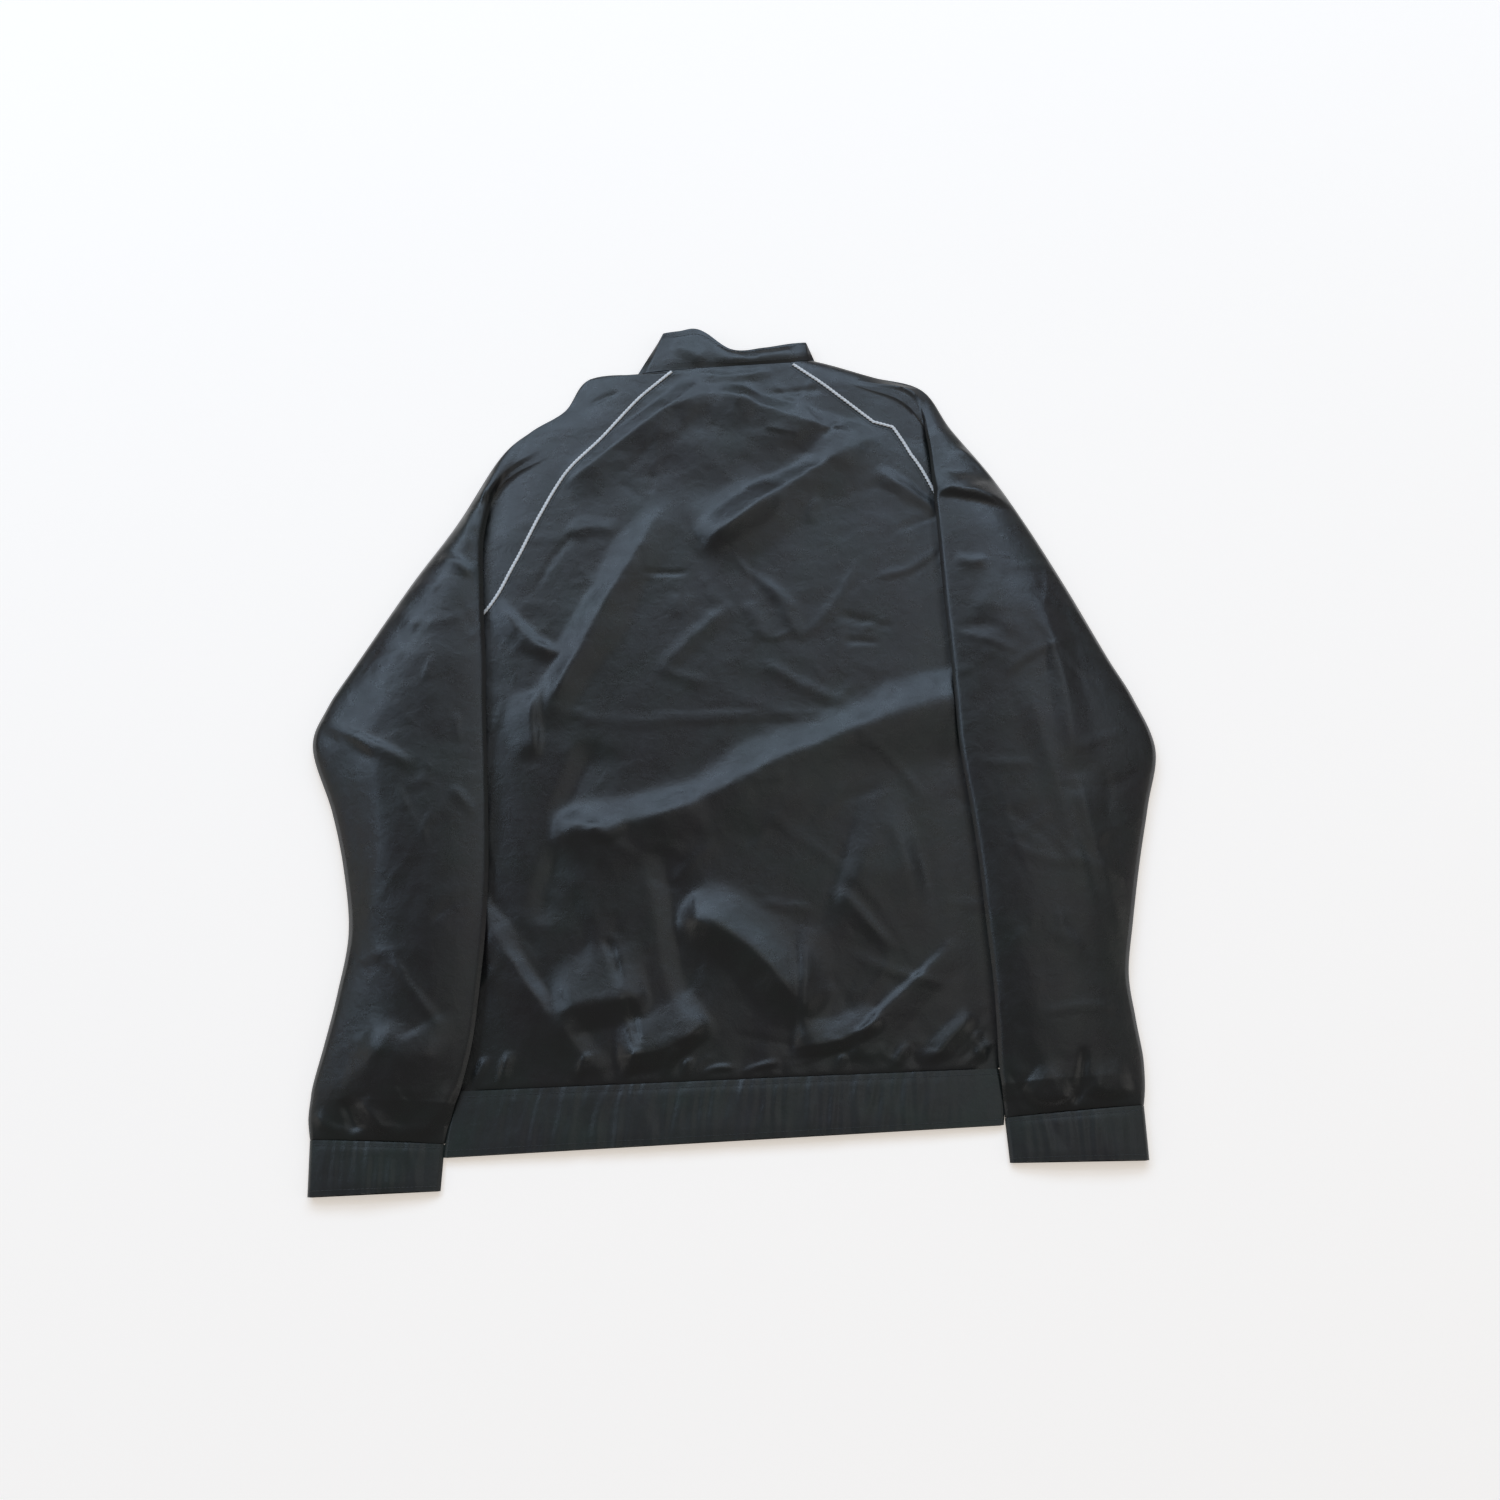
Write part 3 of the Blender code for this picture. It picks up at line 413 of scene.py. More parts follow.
def scattered(seed, count, low, high):
    """Short creases at random places between two corners."""
    random = np.random.default_rng(seed)
    middle = random.uniform(low, high, (count, 2))
    angle = random.uniform(0, math.pi, count)
    half = np.exp(random.uniform(math.log(12), math.log(60), count))
    reach = half[:, None] * np.column_stack((np.cos(angle), np.sin(angle)))
    bent = middle + reach[:, ::-1] * (1, -1) * random.normal(0, 0.12, (count, 1))
    height = random.uniform(0.2, 0.65, count) * np.where(random.random(count) < 0.3, -1, 1)
    flanks = random.uniform(3, 8, (count, 2))
    rows = np.column_stack((middle - reach, bent, middle + reach, height, flanks))
    return dict(zip(CREASE_COLUMNS.split(), rows.T))


def crease_height(creases, x, y):
    """Height that a table of creases adds: even flanks on both sides of a crest that dies out."""
    shape = np.shape(x)
    x, y = np.ravel(x), np.ravel(y)
    wobble_x = x + 3 * noise(x, y, 60, 71) + 1.3 * noise(x, y, 17, 73)
    wobble_y = y + 3 * noise(x, y, 60, 72) + 1.3 * noise(x, y, 17, 74)
    uneven = 1 + 0.5 * noise(x, y, 75, 75)
    total = np.zeros(len(x))
    for x1, y1, x2, y2, x3, y3, height, left, right in zip(*creases.values()):
        stations = np.linspace(0, 2, CREASE_STEPS + 1)
        line_x = on_curve(np.array([x1, x2, x3]), stations)
        line_y = on_curve(np.array([y1, y2, y3]), stations)
        room = CREASE_ROOM * CREASE_END * max(left, right)
        close = ((wobble_x > line_x.min() - room) & (wobble_x < line_x.max() + room)
                 & (wobble_y > line_y.min() - room) & (wobble_y < line_y.max() + room))
        here_x, here_y = wobble_x[close], wobble_y[close]
        nearest = np.full(len(here_x), np.inf)
        on_left = np.zeros(len(here_x), dtype=bool)
        along = np.zeros(len(here_x))
        for step in range(CREASE_STEPS):
            run_x = line_x[step + 1] - line_x[step]
            run_y = line_y[step + 1] - line_y[step]
            from_x = here_x - line_x[step]
            from_y = here_y - line_y[step]
            share = np.clip((from_x * run_x + from_y * run_y) / (run_x ** 2 + run_y ** 2), 0, 1)
            distance = np.hypot(from_x - share * run_x, from_y - share * run_y)
            closer = distance < nearest
            on_left = np.where(closer, run_x * from_y - run_y * from_x > 0, on_left)
            along = np.where(closer, (step + share) / CREASE_STEPS, along)
            nearest = np.minimum(distance, nearest)
        away = nearest / (np.where(on_left, left, right) * uneven[close])
        crest = 1 + CREST_ROUNDING - np.hypot(away, CREST_ROUNDING)
        crest = (crest + np.hypot(crest, FOOT_ROUNDING)) / 2
        fade = smooth_step((CREASE_END - away) / (CREASE_END - 1))
        ends = smooth_step(along / CREASE_TAPER) * smooth_step((1 - along) / CREASE_TAPER)
        total[close] += FOLD_SCALE * height * crest * fade * ends
    return total.reshape(shape)


def seam_line(side, seam, stations):
    """X and Y of a seam of the raglan sleeve at stations down from the neck."""
    x = on_curve(SEAMS[side][seam + "_x"], stations)
    y = on_curve(SEAMS[side][seam + "_y"], stations)
    if side == "right" and seam == "back":
        y = y + np.interp(stations, KINK["station"], KINK["rise"])
    return x, y


def body_outline(side):
    """Half width of the body and shoulder at heights that rise, for np.interp."""
    seams, sleeve = SEAMS[side], SLEEVES[side]
    stations = np.linspace(0, len(SIDES[side]["x"]) - 1, 44)
    edge_x = on_curve(SIDES[side]["x"], stations)
    edge_y = on_curve(SIDES[side]["y"], stations)
    folded = sleeve["puff"][:ARMPIT] >= 0.5
    shoulder_x = np.where(folded, seams["valley_x"][:ARMPIT], sleeve["outer_x"][:ARMPIT])
    shoulder_y = np.where(folded, seams["valley_y"][:ARMPIT], sleeve["outer_y"][:ARMPIT])
    x = np.concatenate((edge_x[::-1], shoulder_x[::-1]))
    y = np.concatenate((edge_y[::-1], shoulder_y[::-1]))
    return y, np.abs(x)


OUTLINES = {side: body_outline(side) for side in SEAMS}


def edge_share(x, y):
    """0 in the middle of the body and 1 at its edge."""
    half = np.where(x < 0, np.interp(y, *OUTLINES["left"]), np.interp(y, *OUTLINES["right"]))
    return np.clip(np.abs(x) / half, 0, 1)


INNER_EDGES = {side: (sleeve["edge_y"][::-1], np.abs(sleeve["edge_x"][::-1]))
               for side, sleeve in SLEEVES.items()}


def past_sleeve_edge(x, y):
    """How far a place of the back lies under a sleeve, and 1 or 0 as there is a sleeve or none."""
    edge = np.where(x < 0, np.interp(y, *INNER_EDGES["left"]), np.interp(y, *INNER_EDGES["right"]))
    return np.abs(x) - edge, smooth_step((COVERED_UP_TO - y) / COVER_FADE)


def back_height(x, y):
    """Height of the outer face of the back without its folds."""
    share = edge_share(x, y)
    rise = np.interp(y - HEM_SLANT * x, PUFF["y"], PUFF["rise"])
    return neck_lift(x, y) + EDGE_TOP + rise * (1 - share ** PUFF_FADE)


def hem_line(x):
    """Height of the hem seam."""
    left, right = HEM_ENDS["left"], HEM_ENDS["right"]
    return np.interp(x, (left["x"][1], right["x"][1]), (left["y"][1], right["y"][1]))


# Folds that a gathered seam sends into the cloth, from tight to wide: size, height, how far they
# reach, how they lean, and how much slower they change along their length.
GATHERS = ((6.0, 0.9, 7, 0.0, 0.14), (15.0, 2.6, 28, 0.25, 0.22), (34.0, 3.6, 70, -0.2, 0.3))


def gathered(across, along, seed):
    """Little folds that a gathered seam sends into the cloth; along is the distance from the seam."""
    spread = across * (1 + 0.0012 * along)
    tight, loose, wide = (
        height * noise(spread + lean * along, along * pace, size, seed + number) * np.exp(-along / reach)
        for number, (size, height, reach, lean, pace) in enumerate(GATHERS))
    here = smooth_step(0.5 + 1.6 * noise(across, 0.0, 70.0, seed + 3))
    return tight * (0.4 + 0.6 * here) + here * (loose + wide * smooth_step(along / 16))


def seam_dip(distance):
    """How far cloth sinks beside a seam."""
    return -0.9 * np.exp(-np.abs(distance) / 1.8)


BACK_SCATTER = scattered(21, 90, (-230, 60), (230, 740))
ARM_SCATTER = {"left": scattered(22, 46, (-370, 20), (-215, 620)),
               "right": scattered(23, 46, (205, 40), (370, 620))}


def back_detail(x, y):
    """Height that the finer folds add to the back."""
    past, sleeve = past_sleeve_edge(x, y)
    free = 1 - sleeve * smooth_step((past + COVER_START) / COVER_BLEND)
    free = free * (1 - edge_share(x, y) ** DETAIL_FADE)
    reach = np.where(past < -GROOVE_BEFORE, *GROOVE_REACHES)
    depth = np.where(x < 0, *GROOVE_DEPTHS)
    groove = sleeve * depth * np.exp(-((past + GROOVE_BEFORE) / reach) ** 2)
    below = np.maximum(y - hem_line(x), 0)
    near_hem = smooth_step(below / HEM_FADE)
    folds = crease_height(BACK_CREASES, x, y) + crease_height(BACK_SCATTER, x, y)
    folds = folds * near_hem + crumple(x, y, 11) * (0.3 + 0.7 * near_hem)
    return free * (folds + gathered(x, below, 41)) - groove + seam_dip(below)


def back_surface(x, y):
    """Height of the back with every fold."""
    return back_height(x, y) + back_detail(x, y)


# ---------------------------------------------------------------- materials

NYLON = (0.0122, 0.0122, 0.0120)
ELASTIC = (0.0170, 0.0196, 0.0190)
PALE = (0.92, 0.92, 0.93)
TAPE = (0.014, 0.016, 0.018)
THREAD = (0.026, 0.030, 0.033)
ENAMEL = (0.030, 0.032, 0.035)
FLOOR = (0.86, 0.86, 0.86)


class Nodes:
    """Adds shader nodes to a material and links them."""

    def __init__(self, name):
        self.material = bpy.data.materials.new(name)
        self.material.use_nodes = True
        self.tree = self.material.node_tree
        self.shader = self.tree.nodes["Principled BSDF"]

    def add(self, kind, **inputs):
        node = self.tree.nodes.new(kind)
        for name, value in inputs.items():
            name = name.replace("_", " ")
            if isinstance(value, bpy.types.NodeSocket):
                self.tree.links.new(value, node.inputs[name])
            else:
                node.inputs[name].default_value = value
        return node

    def link(self, output, name):
        self.tree.links.new(output, self.shader.inputs[name])

    def put(self, **values):
        for name, value in values.items():
            self.shader.inputs[name.replace("_", " ")].default_value = value

    def place(self, scale=(1, 1, 1), rotation=(0, 0, 0)):
        """Coordinates of the object in metres."""
        source = self.tree.nodes.new("ShaderNodeTexCoord").outputs["Object"]
        return self.add("ShaderNodeMapping", Vector=source, Scale=scale, Rotation=rotation).outputs[0]

    def noise(self, scale, detail=2.0, roughness=0.5, place=None, **more):
        place = place or self.place()
        return self.add("ShaderNodeTexNoise", Vector=place, Scale=scale, Detail=detail,
                        Roughness=roughness, **more).outputs["Fac"]

    def math(self, operation, first, second=0.5):
        node = self.tree.nodes.new("ShaderNodeMath")
        node.operation = operation
        for socket, value in zip(node.inputs, (first, second)):
            if isinstance(value, bpy.types.NodeSocket):
                self.tree.links.new(value, socket)
            else:
                socket.default_value = value
        return node.outputs[0]

    def ramp(self, value, low, high, start=0.0, end=1.0):
        """Map a value from start..end to low..high."""
        return self.add("ShaderNodeMapRange", Value=value, From_Min=start, From_Max=end, To_Min=low,
                        To_Max=high).outputs[0]

    def colours(self, value, *stops):
        node = self.add("ShaderNodeValToRGB", Fac=value)
        while len(node.color_ramp.elements) < len(stops):
            node.color_ramp.elements.new(0.5)
        for element, (place, colour) in zip(node.color_ramp.elements, stops):
            element.position = place
            element.color = (*colour, 1.0)
        return node.outputs["Color"]

    def bump(self, height, distance, normal=None, strength=1.0):
        inputs = {"Height": height, "Distance": distance, "Strength": strength}
        if normal:
            inputs["Normal"] = normal
        return self.add("ShaderNodeBump", **inputs).outputs["Normal"]


def shade(colour, factor):
    return tuple(part * factor for part in colour)


def weave(nodes, pitch):
    """Height of a plain weave with threads the given distance apart."""
    place = nodes.place()
    turns = 2 * math.pi / pitch
    split = nodes.add("ShaderNodeSeparateXYZ", Vector=place)
    across = nodes.math("SINE", nodes.math("MULTIPLY", split.outputs["X"], turns))
    along = nodes.math("SINE", nodes.math("MULTIPLY", split.outputs["Y"], turns))
    return nodes.math("MULTIPLY", across, along)


def nylon(name, colour, roughness):
    """Thin dark nylon: a green-grey cast in the flats and a cool sheen where it turns to the light."""
    nodes = Nodes(name)
    clouds = nodes.noise(17.0, 4.0, 0.6)
    nodes.link(nodes.colours(clouds, (0.32, (colour[0] * 1.0, colour[1] * 0.84, colour[2] * 0.96)),
                             (0.5, colour),
                             (0.68, (colour[0] * 0.96, colour[1] * 1.22, colour[2] * 1.08))),
               "Base Color")
    wear = nodes.noise(55.0, 4.0, 0.6)
    nodes.link(nodes.ramp(wear, roughness - 0.05, roughness + 0.07, 0.3, 0.7), "Roughness")
    creases = nodes.noise(95.0, 4.0, 0.6, Distortion=0.5)
    normal = nodes.bump(creases, 0.0010, strength=0.32)
    normal = nodes.bump(weave(nodes, 0.0005), 0.00003, normal, strength=0.25)
    nodes.link(normal, "Normal")
    nodes.put(IOR=1.5, Sheen_Weight=0.03, Sheen_Roughness=0.35, Sheen_Tint=(0.7, 0.8, 0.95, 1.0))
    return nodes.material


def mottled(name, scale, dark, light, detail=2.0, end=0.7):
    """A material whose colour wanders between a darker and a lighter one."""
    nodes = Nodes(name)
    nodes.link(nodes.colours(nodes.noise(scale, detail), (0.3, dark), (end, light)), "Base Color")
    return nodes


def piping_material():
    nodes = mottled("piping", 260.0, shade(PALE, 0.84), PALE, 3.0, 0.65)
    nodes.link(nodes.bump(nodes.noise(2600.0, 2.0), 0.0002, strength=0.5), "Normal")
    nodes.put(Roughness=0.5, Sheen_Weight=0.2)
    return nodes.material


def thread_material():
    nodes = mottled("thread", 900.0, shade(THREAD, 0.8), THREAD)
    nodes.link(nodes.bump(nodes.noise(4200.0, 1.0), 0.0001, strength=0.6), "Normal")
    nodes.put(Roughness=0.55, Sheen_Weight=0.3)
    return nodes.material


def tape_material():
    nodes = mottled("tape", 420.0, shade(TAPE, 0.8), TAPE)
    nodes.link(nodes.bump(weave(nodes, 0.0011), 0.0001, strength=0.7), "Normal")
    nodes.put(Roughness=0.78, Sheen_Weight=0.25)
    return nodes.material


def coil_material():
    nodes = mottled("coil", 300.0, shade(TAPE, 1.1), shade(TAPE, 1.5))
    nodes.link(nodes.ramp(nodes.noise(600.0), 0.34, 0.5), "Roughness")
    return nodes.material


def enamel_material():
    nodes = Nodes("enamel")
    scuffs = nodes.noise(700.0, 5.0, 0.65)
    nodes.link(nodes.colours(scuffs, (0.35, ENAMEL), (0.62, shade(ENAMEL, 1.25)),
                             (0.8, (0.16, 0.16, 0.165))), "Base Color")
    nodes.link(nodes.ramp(scuffs, 0.3, 0.52, 0.3, 0.75), "Roughness")
    nodes.link(nodes.bump(scuffs, 0.0001, strength=0.3), "Normal")
    nodes.put(Metallic=0.6)
    return nodes.material


def floor_material():
    nodes = mottled("floor", 1.2, shade(FLOOR, 0.99), FLOOR)
    nodes.put(Roughness=0.9, Specular_IOR_Level=0.2, Emission_Color=(1.0, 0.90, 0.80, 1.0),
              Emission_Strength=0.48)
    return nodes.material


# ---------------------------------------------------------------- making meshes

hinge = frame["joints"][0]["pos_m"]
SHIFT = Vector((hinge[0] - ZIP_X * MM, hinge[1] - CROSSBAR_Y * MM, 0.0))


def add_mesh(name, vertices, faces, material, sharp=50, body="garment"):
    """Make a piece from points in millimetres, in the frame's place."""
    mesh = bpy.data.meshes.new(name)
    points = np.asarray(vertices, dtype=float) * MM + np.array(SHIFT)
    mesh.from_pydata(points.tolist(), [], [tuple(face) for face in faces])
    mesh.shade_smooth()
    mesh.set_sharp_from_angle(angle=math.radians(sharp))
    mesh.materials.append(material)
    piece = bpy.data.objects.new(name, mesh)
    bpy.context.scene.collection.objects.link(piece)
    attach(piece, body)
    return piece


def quads(numbers):
    """Faces between the neighbours in a grid of point numbers, as an array by row and column."""
    corners = (numbers[:-1, :-1], numbers[:-1, 1:], numbers[1:, 1:], numbers[1:, :-1])
    return np.stack(corners, axis=2)


def shell(name, grid, material, tube_from=None, slit=None, flip=False):
    """A closed thin shell whose outer face runs through a grid of points, an array of rows.

    Rows from tube_from on close to a ring: their last point is their first. The slit is a pair, the
    column to its left and the number of rows that it runs through. Flip turns the outer face over.
    """
    rows, columns = grid.shape[:2]
    numbers = np.arange(rows * columns).reshape(rows, columns)
    if tube_from is not None:
        numbers[tube_from:, -1] = numbers[tube_from:, 0]
    faces = quads(numbers)
    kept = np.ones(faces.shape[:2], dtype=bool)
    if slit:
        kept[:slit[1], slit[0]] = False
    faces = faces[kept]
    if flip:
        faces = faces[:, ::-1]
    used, renumbered = np.unique(faces, return_inverse=True)
    piece = add_mesh(name, grid.reshape(-1, 3)[used], renumbered.reshape(-1, 4).tolist(), material)
    thicken = piece.modifiers.new("thickness", "SOLIDIFY")
    thicken.thickness = SHELL * MM
    thicken.offset = -1.0
    return settle(piece)


def settle(piece, sharp=50):
    """Apply a piece's modifiers."""
    graph = bpy.context.evaluated_depsgraph_get()
    mesh = bpy.data.meshes.new_from_object(piece.evaluated_get(graph))
    piece.modifiers.clear()
    piece.data = mesh
    mesh.shade_smooth()
    mesh.set_sharp_from_angle(angle=math.radians(sharp))
    return piece


def unit(vectors):
    return vectors / np.maximum(np.linalg.norm(vectors, axis=-1, keepdims=True), 1e-9)


def tube(path, radius, sides, squash=1.0, twist=None):
    """Points and faces of a closed tube along a path. Twist gives each ring's radii, sides long."""
    along = unit(np.gradient(path, axis=0))
    across = unit(np.cross(along, (0.0, 0.0, 1.0)))
    over = np.cross(across, along)
    angles = np.linspace(0, 2 * math.pi, sides, endpoint=False)
    radii = np.full((len(path), sides), radius) if twist is None else twist
    rings = (path[:, None] + across[:, None] * (radii * np.cos(angles))[..., None]
             + over[:, None] * (squash * radii * np.sin(angles))[..., None])
    numbers = np.arange(len(path) * sides).reshape(len(path), sides)
    closed = np.column_stack((numbers, numbers[:, 0]))
    faces = [list(face) for face in quads(closed).reshape(-1, 4)]
    faces += [list(numbers[0]), list(numbers[-1][::-1])]
    return rings.reshape(-1, 3), faces


STITCH = 2.9                # length of one stitch
STITCH_PITCH = 3.6
STITCH_LIFT = (0, 0, 0.1)   # of a thread over the cloth
SEAM_STITCH = -4.2          # from the raglan seam, on the back's side
COLLAR_BACK = slice(60, 134)    # stations of the collar that lie on the back
THREAD_RADIUS = 0.22


def resample(path, pitch):
    """Points a given distance apart along a path."""
    lengths = np.concatenate(([0], np.cumsum(np.linalg.norm(np.diff(path, axis=0), axis=1))))
    places = np.arange(pitch / 2, lengths[-1], pitch)
    return np.column_stack([np.interp(places, lengths, path[:, axis]) for axis in range(3)])


def stitches(name, paths):
    """Rows of topstitching along paths, as one piece: each stitch a short thread with sunk ends."""
    vertices, faces = [], []
    shares = np.array([-0.5, -0.36, 0.0, 0.36, 0.5])
    sunk = np.array([-0.32, -0.02, 0.06, -0.02, -0.32])
    for path in paths:
        centres = resample(path, STITCH_PITCH)
        if len(centres) < 3:
            continue
        directions = unit(np.gradient(centres, axis=0))
        for centre, direction in zip(centres, directions):
            line = centre + np.outer(shares * STITCH, direction)
            line[:, 2] += sunk
            points, sides = tube(line, THREAD_RADIUS, 5)
            first = sum(len(block) for block in vertices)
            vertices.append(points)
            faces += [[number + first for number in face] for face in sides]
    return add_mesh(name, np.vstack(vertices), faces, THREAD_LOOK, sharp=80)


THREAD_LOOK = thread_material()
NYLON_LOOK = nylon("nylon", NYLON, 0.29)
ELASTIC_LOOK = nylon("elastic", ELASTIC, 0.36)
SHELL = 0.7                 # thickness of the nylon with its seam allowances
LOWEST_TOP = 1.8            # of upper cloth over the underside of the garment

# ---------------------------------------------------------------- the body

FINE_STEP = 3.0             # between the points of the back
BACK_COLUMNS = 174
FRONT_STEP = 6.0
FRONT_COLUMNS = 44          # on each side of the zip
FRONT_NECK_ROWS = 30        # over which the front takes up the curve of its neck
RAGLAN_LENGTH = 430
SIDE_LENGTH = 420


def seam_stations(step):
    return np.linspace(0, ARMPIT, int(round(RAGLAN_LENGTH / step)))


def side_stations(side, step):
    """Stations of the rows below the armpit along the side seam."""
    return np.linspace(0, len(SIDES[side]["x"]) - 1, int(round(SIDE_LENGTH / step)))[1:]


def panel_edge(side, seam, step):
    """Points down one side of a body panel, along its raglan seam and then its side seam."""
    neck, below = seam_stations(step), side_stations(side, step)
    seam_x, seam_y = seam_line(side, seam, neck)
    x = np.concatenate((seam_x, on_curve(SIDES[side]["x"], below)))
    y = np.concatenate((seam_y, on_curve(SIDES[side]["y"], below)))
    return x, y


def build_back_panel():
    left_x, left_y = panel_edge("left", "back", FINE_STEP)
    right_x, right_y = panel_edge("right", "back", FINE_STEP)
    across = np.linspace(0, 1, BACK_COLUMNS)
    x = mix(left_x[:, None], right_x[:, None], across)
    y = mix(left_y[:, None], right_y[:, None], across)
    grid = np.dstack((x, y, np.maximum(back_surface(x, y), neck_lift(x, y) + LOWEST_TOP)))
    piece = shell("back_panel.cloth", grid, NYLON_LOOK, flip=True)
    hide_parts("back_panel")


def front_neck_drop(share):
    return FRONT_NECK_DROP * 4 * share * (1 - share)


def front_neck_y(x):
    """Height of the front neck seam."""
    left, right = SEAMS["left"], SEAMS["right"]
    share = (x - left["front_x"][0]) / (right["front_x"][0] - left["front_x"][0])
    return mix(left["front_y"][0], right["front_y"][0], share) - front_neck_drop(share)


def build_front_panel():
    """The front, whose lower face lies flat, with a slit that shows the zip's coil."""
    left_x, left_y = panel_edge("left", "front", FRONT_STEP)
    right_x, right_y = panel_edge("right", "front", FRONT_STEP)
    half = np.linspace(0, 1, FRONT_COLUMNS)
    x = np.concatenate((mix(left_x[:, None], ZIP_X - ZIP_SLIT / 2, half),
                        mix(ZIP_X + ZIP_SLIT / 2, right_x[:, None], half)), axis=1)
    share = (x - left_x[:, None]) / (right_x - left_x)[:, None]
    fade = np.clip(1 - np.arange(len(left_x)) / FRONT_NECK_ROWS, 0, 1)[:, None]
    y = mix(left_y[:, None], right_y[:, None], share) - front_neck_drop(share) * fade
    grid = np.dstack((x, y, neck_lift(x, y)))
    slit = FRONT_COLUMNS - 1
    slit_rows = int(np.argmin(np.abs(y[:, slit] - ZIP_END)))
    piece = shell("front_panel.cloth", grid, NYLON_LOOK, slit=(slit, slit_rows))
    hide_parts("front_panel")


# ---------------------------------------------------------------- the sleeves


def inset_path(start, end, shares, start_inset, end_inset):
    """Points on a line between two points, kept in from its ends."""
    length = np.hypot(*(end - start))
    first = min(start_inset, 0.25 * length) / length
    last = 1 - min(end_inset, 0.25 * length) / length
    return start + np.outer(mix(first, last, shares), end - start)


LYING_SHARES = np.linspace(0, 0.97, 12)     # from the back seam to the valley
RISING_SHARES = np.linspace(0, 0.97, 12)    # from the floor over the edge of the body
PLEAT_SHARES = np.linspace(0.08, 1, 12)
EVEN_SHARES = np.linspace(0, 1, 66)
TOP_SHARES = mix(EVEN_SHARES, 0.5 - 0.5 * np.cos(np.pi * EVEN_SHARES), 0.35)
FLOOR_SHARES = np.linspace(0, 1, 14)
SHOULDER_ROWS = 130
ARM_ROWS = 150


def sleeve_keys(side, station):
    """Seam, valley, inner edge, outer edge and front seam of one row of a sleeve, in plan."""
    sleeve = SLEEVES[side]
    edge, outer = (np.array([on_curve(sleeve[name + axis], station) for axis in ("_x", "_y")])
                   for name in ("edge", "outer"))
    if station <= ARMPIT:
        apart = np.array([side_sign(side) * SEAM_GAP, 0.0])
        back, valley, front = (np.array(seam_line(side, seam, station)) + apart
                               for seam in ("back", "valley", "front"))
        return back, valley, edge, outer, front
    body_edge = np.interp(edge[1], *OUTLINES[side])
    seam_x = max(body_edge + 8, abs(edge[0]) + 12)
    valley_x = max(body_edge - 6, abs(edge[0]) + 5)
    slope = (outer - edge) / abs(outer[0] - edge[0])
    seam = edge + slope * (seam_x - abs(edge[0]))
    valley = edge + slope * (valley_x - abs(edge[0]))
    return seam, valley, edge, outer, seam


def sleeve_row(side, station):
    """One row round a sleeve, from the back seam over the pleat and the arm and back below.

    The last two columns are the shares of the back's and the arm's finer folds that a point takes.
    """
    sleeve = SLEEVES[side]
    puff, crown, roll = (on_lines(sleeve[name], station) for name in ("puff", "crown", "roll"))
    on_body = np.interp(station, *LEAVES_BODY)
    seam, valley, edge, outer, front = sleeve_keys(side, station)
    closed = station > ARMPIT

    shares = RISING_SHARES if closed else LYING_SHARES
    seam_plan = mix(seam, valley, shares[:, None])
    valley_z = on_body * (back_height(*valley) + FOLD_GAP * puff)
    if closed:
        rising = np.interp(shares, (0, 0.35, 0.7, 0.85, 1), (0.12, 0.5, 0.96, 1.0, 1.0))
        seam_z = valley_z * rising
    else:
        seam_z = back_height(*seam_plan.T)

    pleat_plan = inset_path(valley, edge, PLEAT_SHARES, 0.0, EDGE_ROLL_INSET)
    pleat_gap = mix(FOLD_GAP, EDGE_GAP, PLEAT_SHARES) * puff
    pleat_z = on_body * (back_height(*pleat_plan.T) + pleat_gap)

    top_plan = inset_path(edge, outer, TOP_SHARES, EDGE_ROLL_INSET, 0.8 * roll)
    edge_top = on_body * (back_height(*edge) + EDGE_GAP) + EDGE_ROLL
    arch = np.sin(np.pi * TOP_SHARES)
    arm_z = mix(edge_top, 2 * roll, TOP_SHARES) + crown * arch ** ARCH_POWER
    top_z = mix(back_height(*top_plan.T), arm_z, puff)
    edge_z = mix(back_height(*edge), edge_top - EDGE_ROLL / 2, puff)

    floor_plan = inset_path(outer, front, FLOOR_SHARES, 0.8 * roll, 0.0)
    plan = np.vstack((seam_plan, valley, pleat_plan, edge, top_plan, outer, floor_plan))
    outer_z = roll + neck_lift(*outer)
    floor_z = neck_lift(*floor_plan.T)
    if closed:
        floor_z[-1] = seam_z[0]
    z = np.concatenate((seam_z, [valley_z], pleat_z, [edge_z], top_z, [outer_z], floor_z))
    before, after = len(seam_z) + 1, 1 + len(floor_z)
    back_share = np.concatenate((np.full(before, 0.0 if closed else 1.0),
                                 np.full(len(pleat_z) + 1 + len(top_z), 1 - puff), np.zeros(after)))
    arm_share = np.concatenate((np.zeros(before + len(pleat_z) + 1), puff * arch ** 0.5,
                                np.zeros(after)))
    return np.column_stack((plan, z, back_share, arm_share))


def arm_detail(side, x, y, cuff_distance):
    """Height of the finer folds of a sleeve."""
    seed = 101 if side == "left" else 131
    fade = smooth_step(cuff_distance / 30)
    folds = crease_height(ARM_CREASES[side], x, y) + crease_height(ARM_SCATTER[side], x, y)
    folds = folds * smooth_step(cuff_distance / 12)
    small = crumple(x, y, seed) * (0.35 + 0.65 * fade)
    return folds + small + 0.8 * gathered(x, cuff_distance, seed + 20)


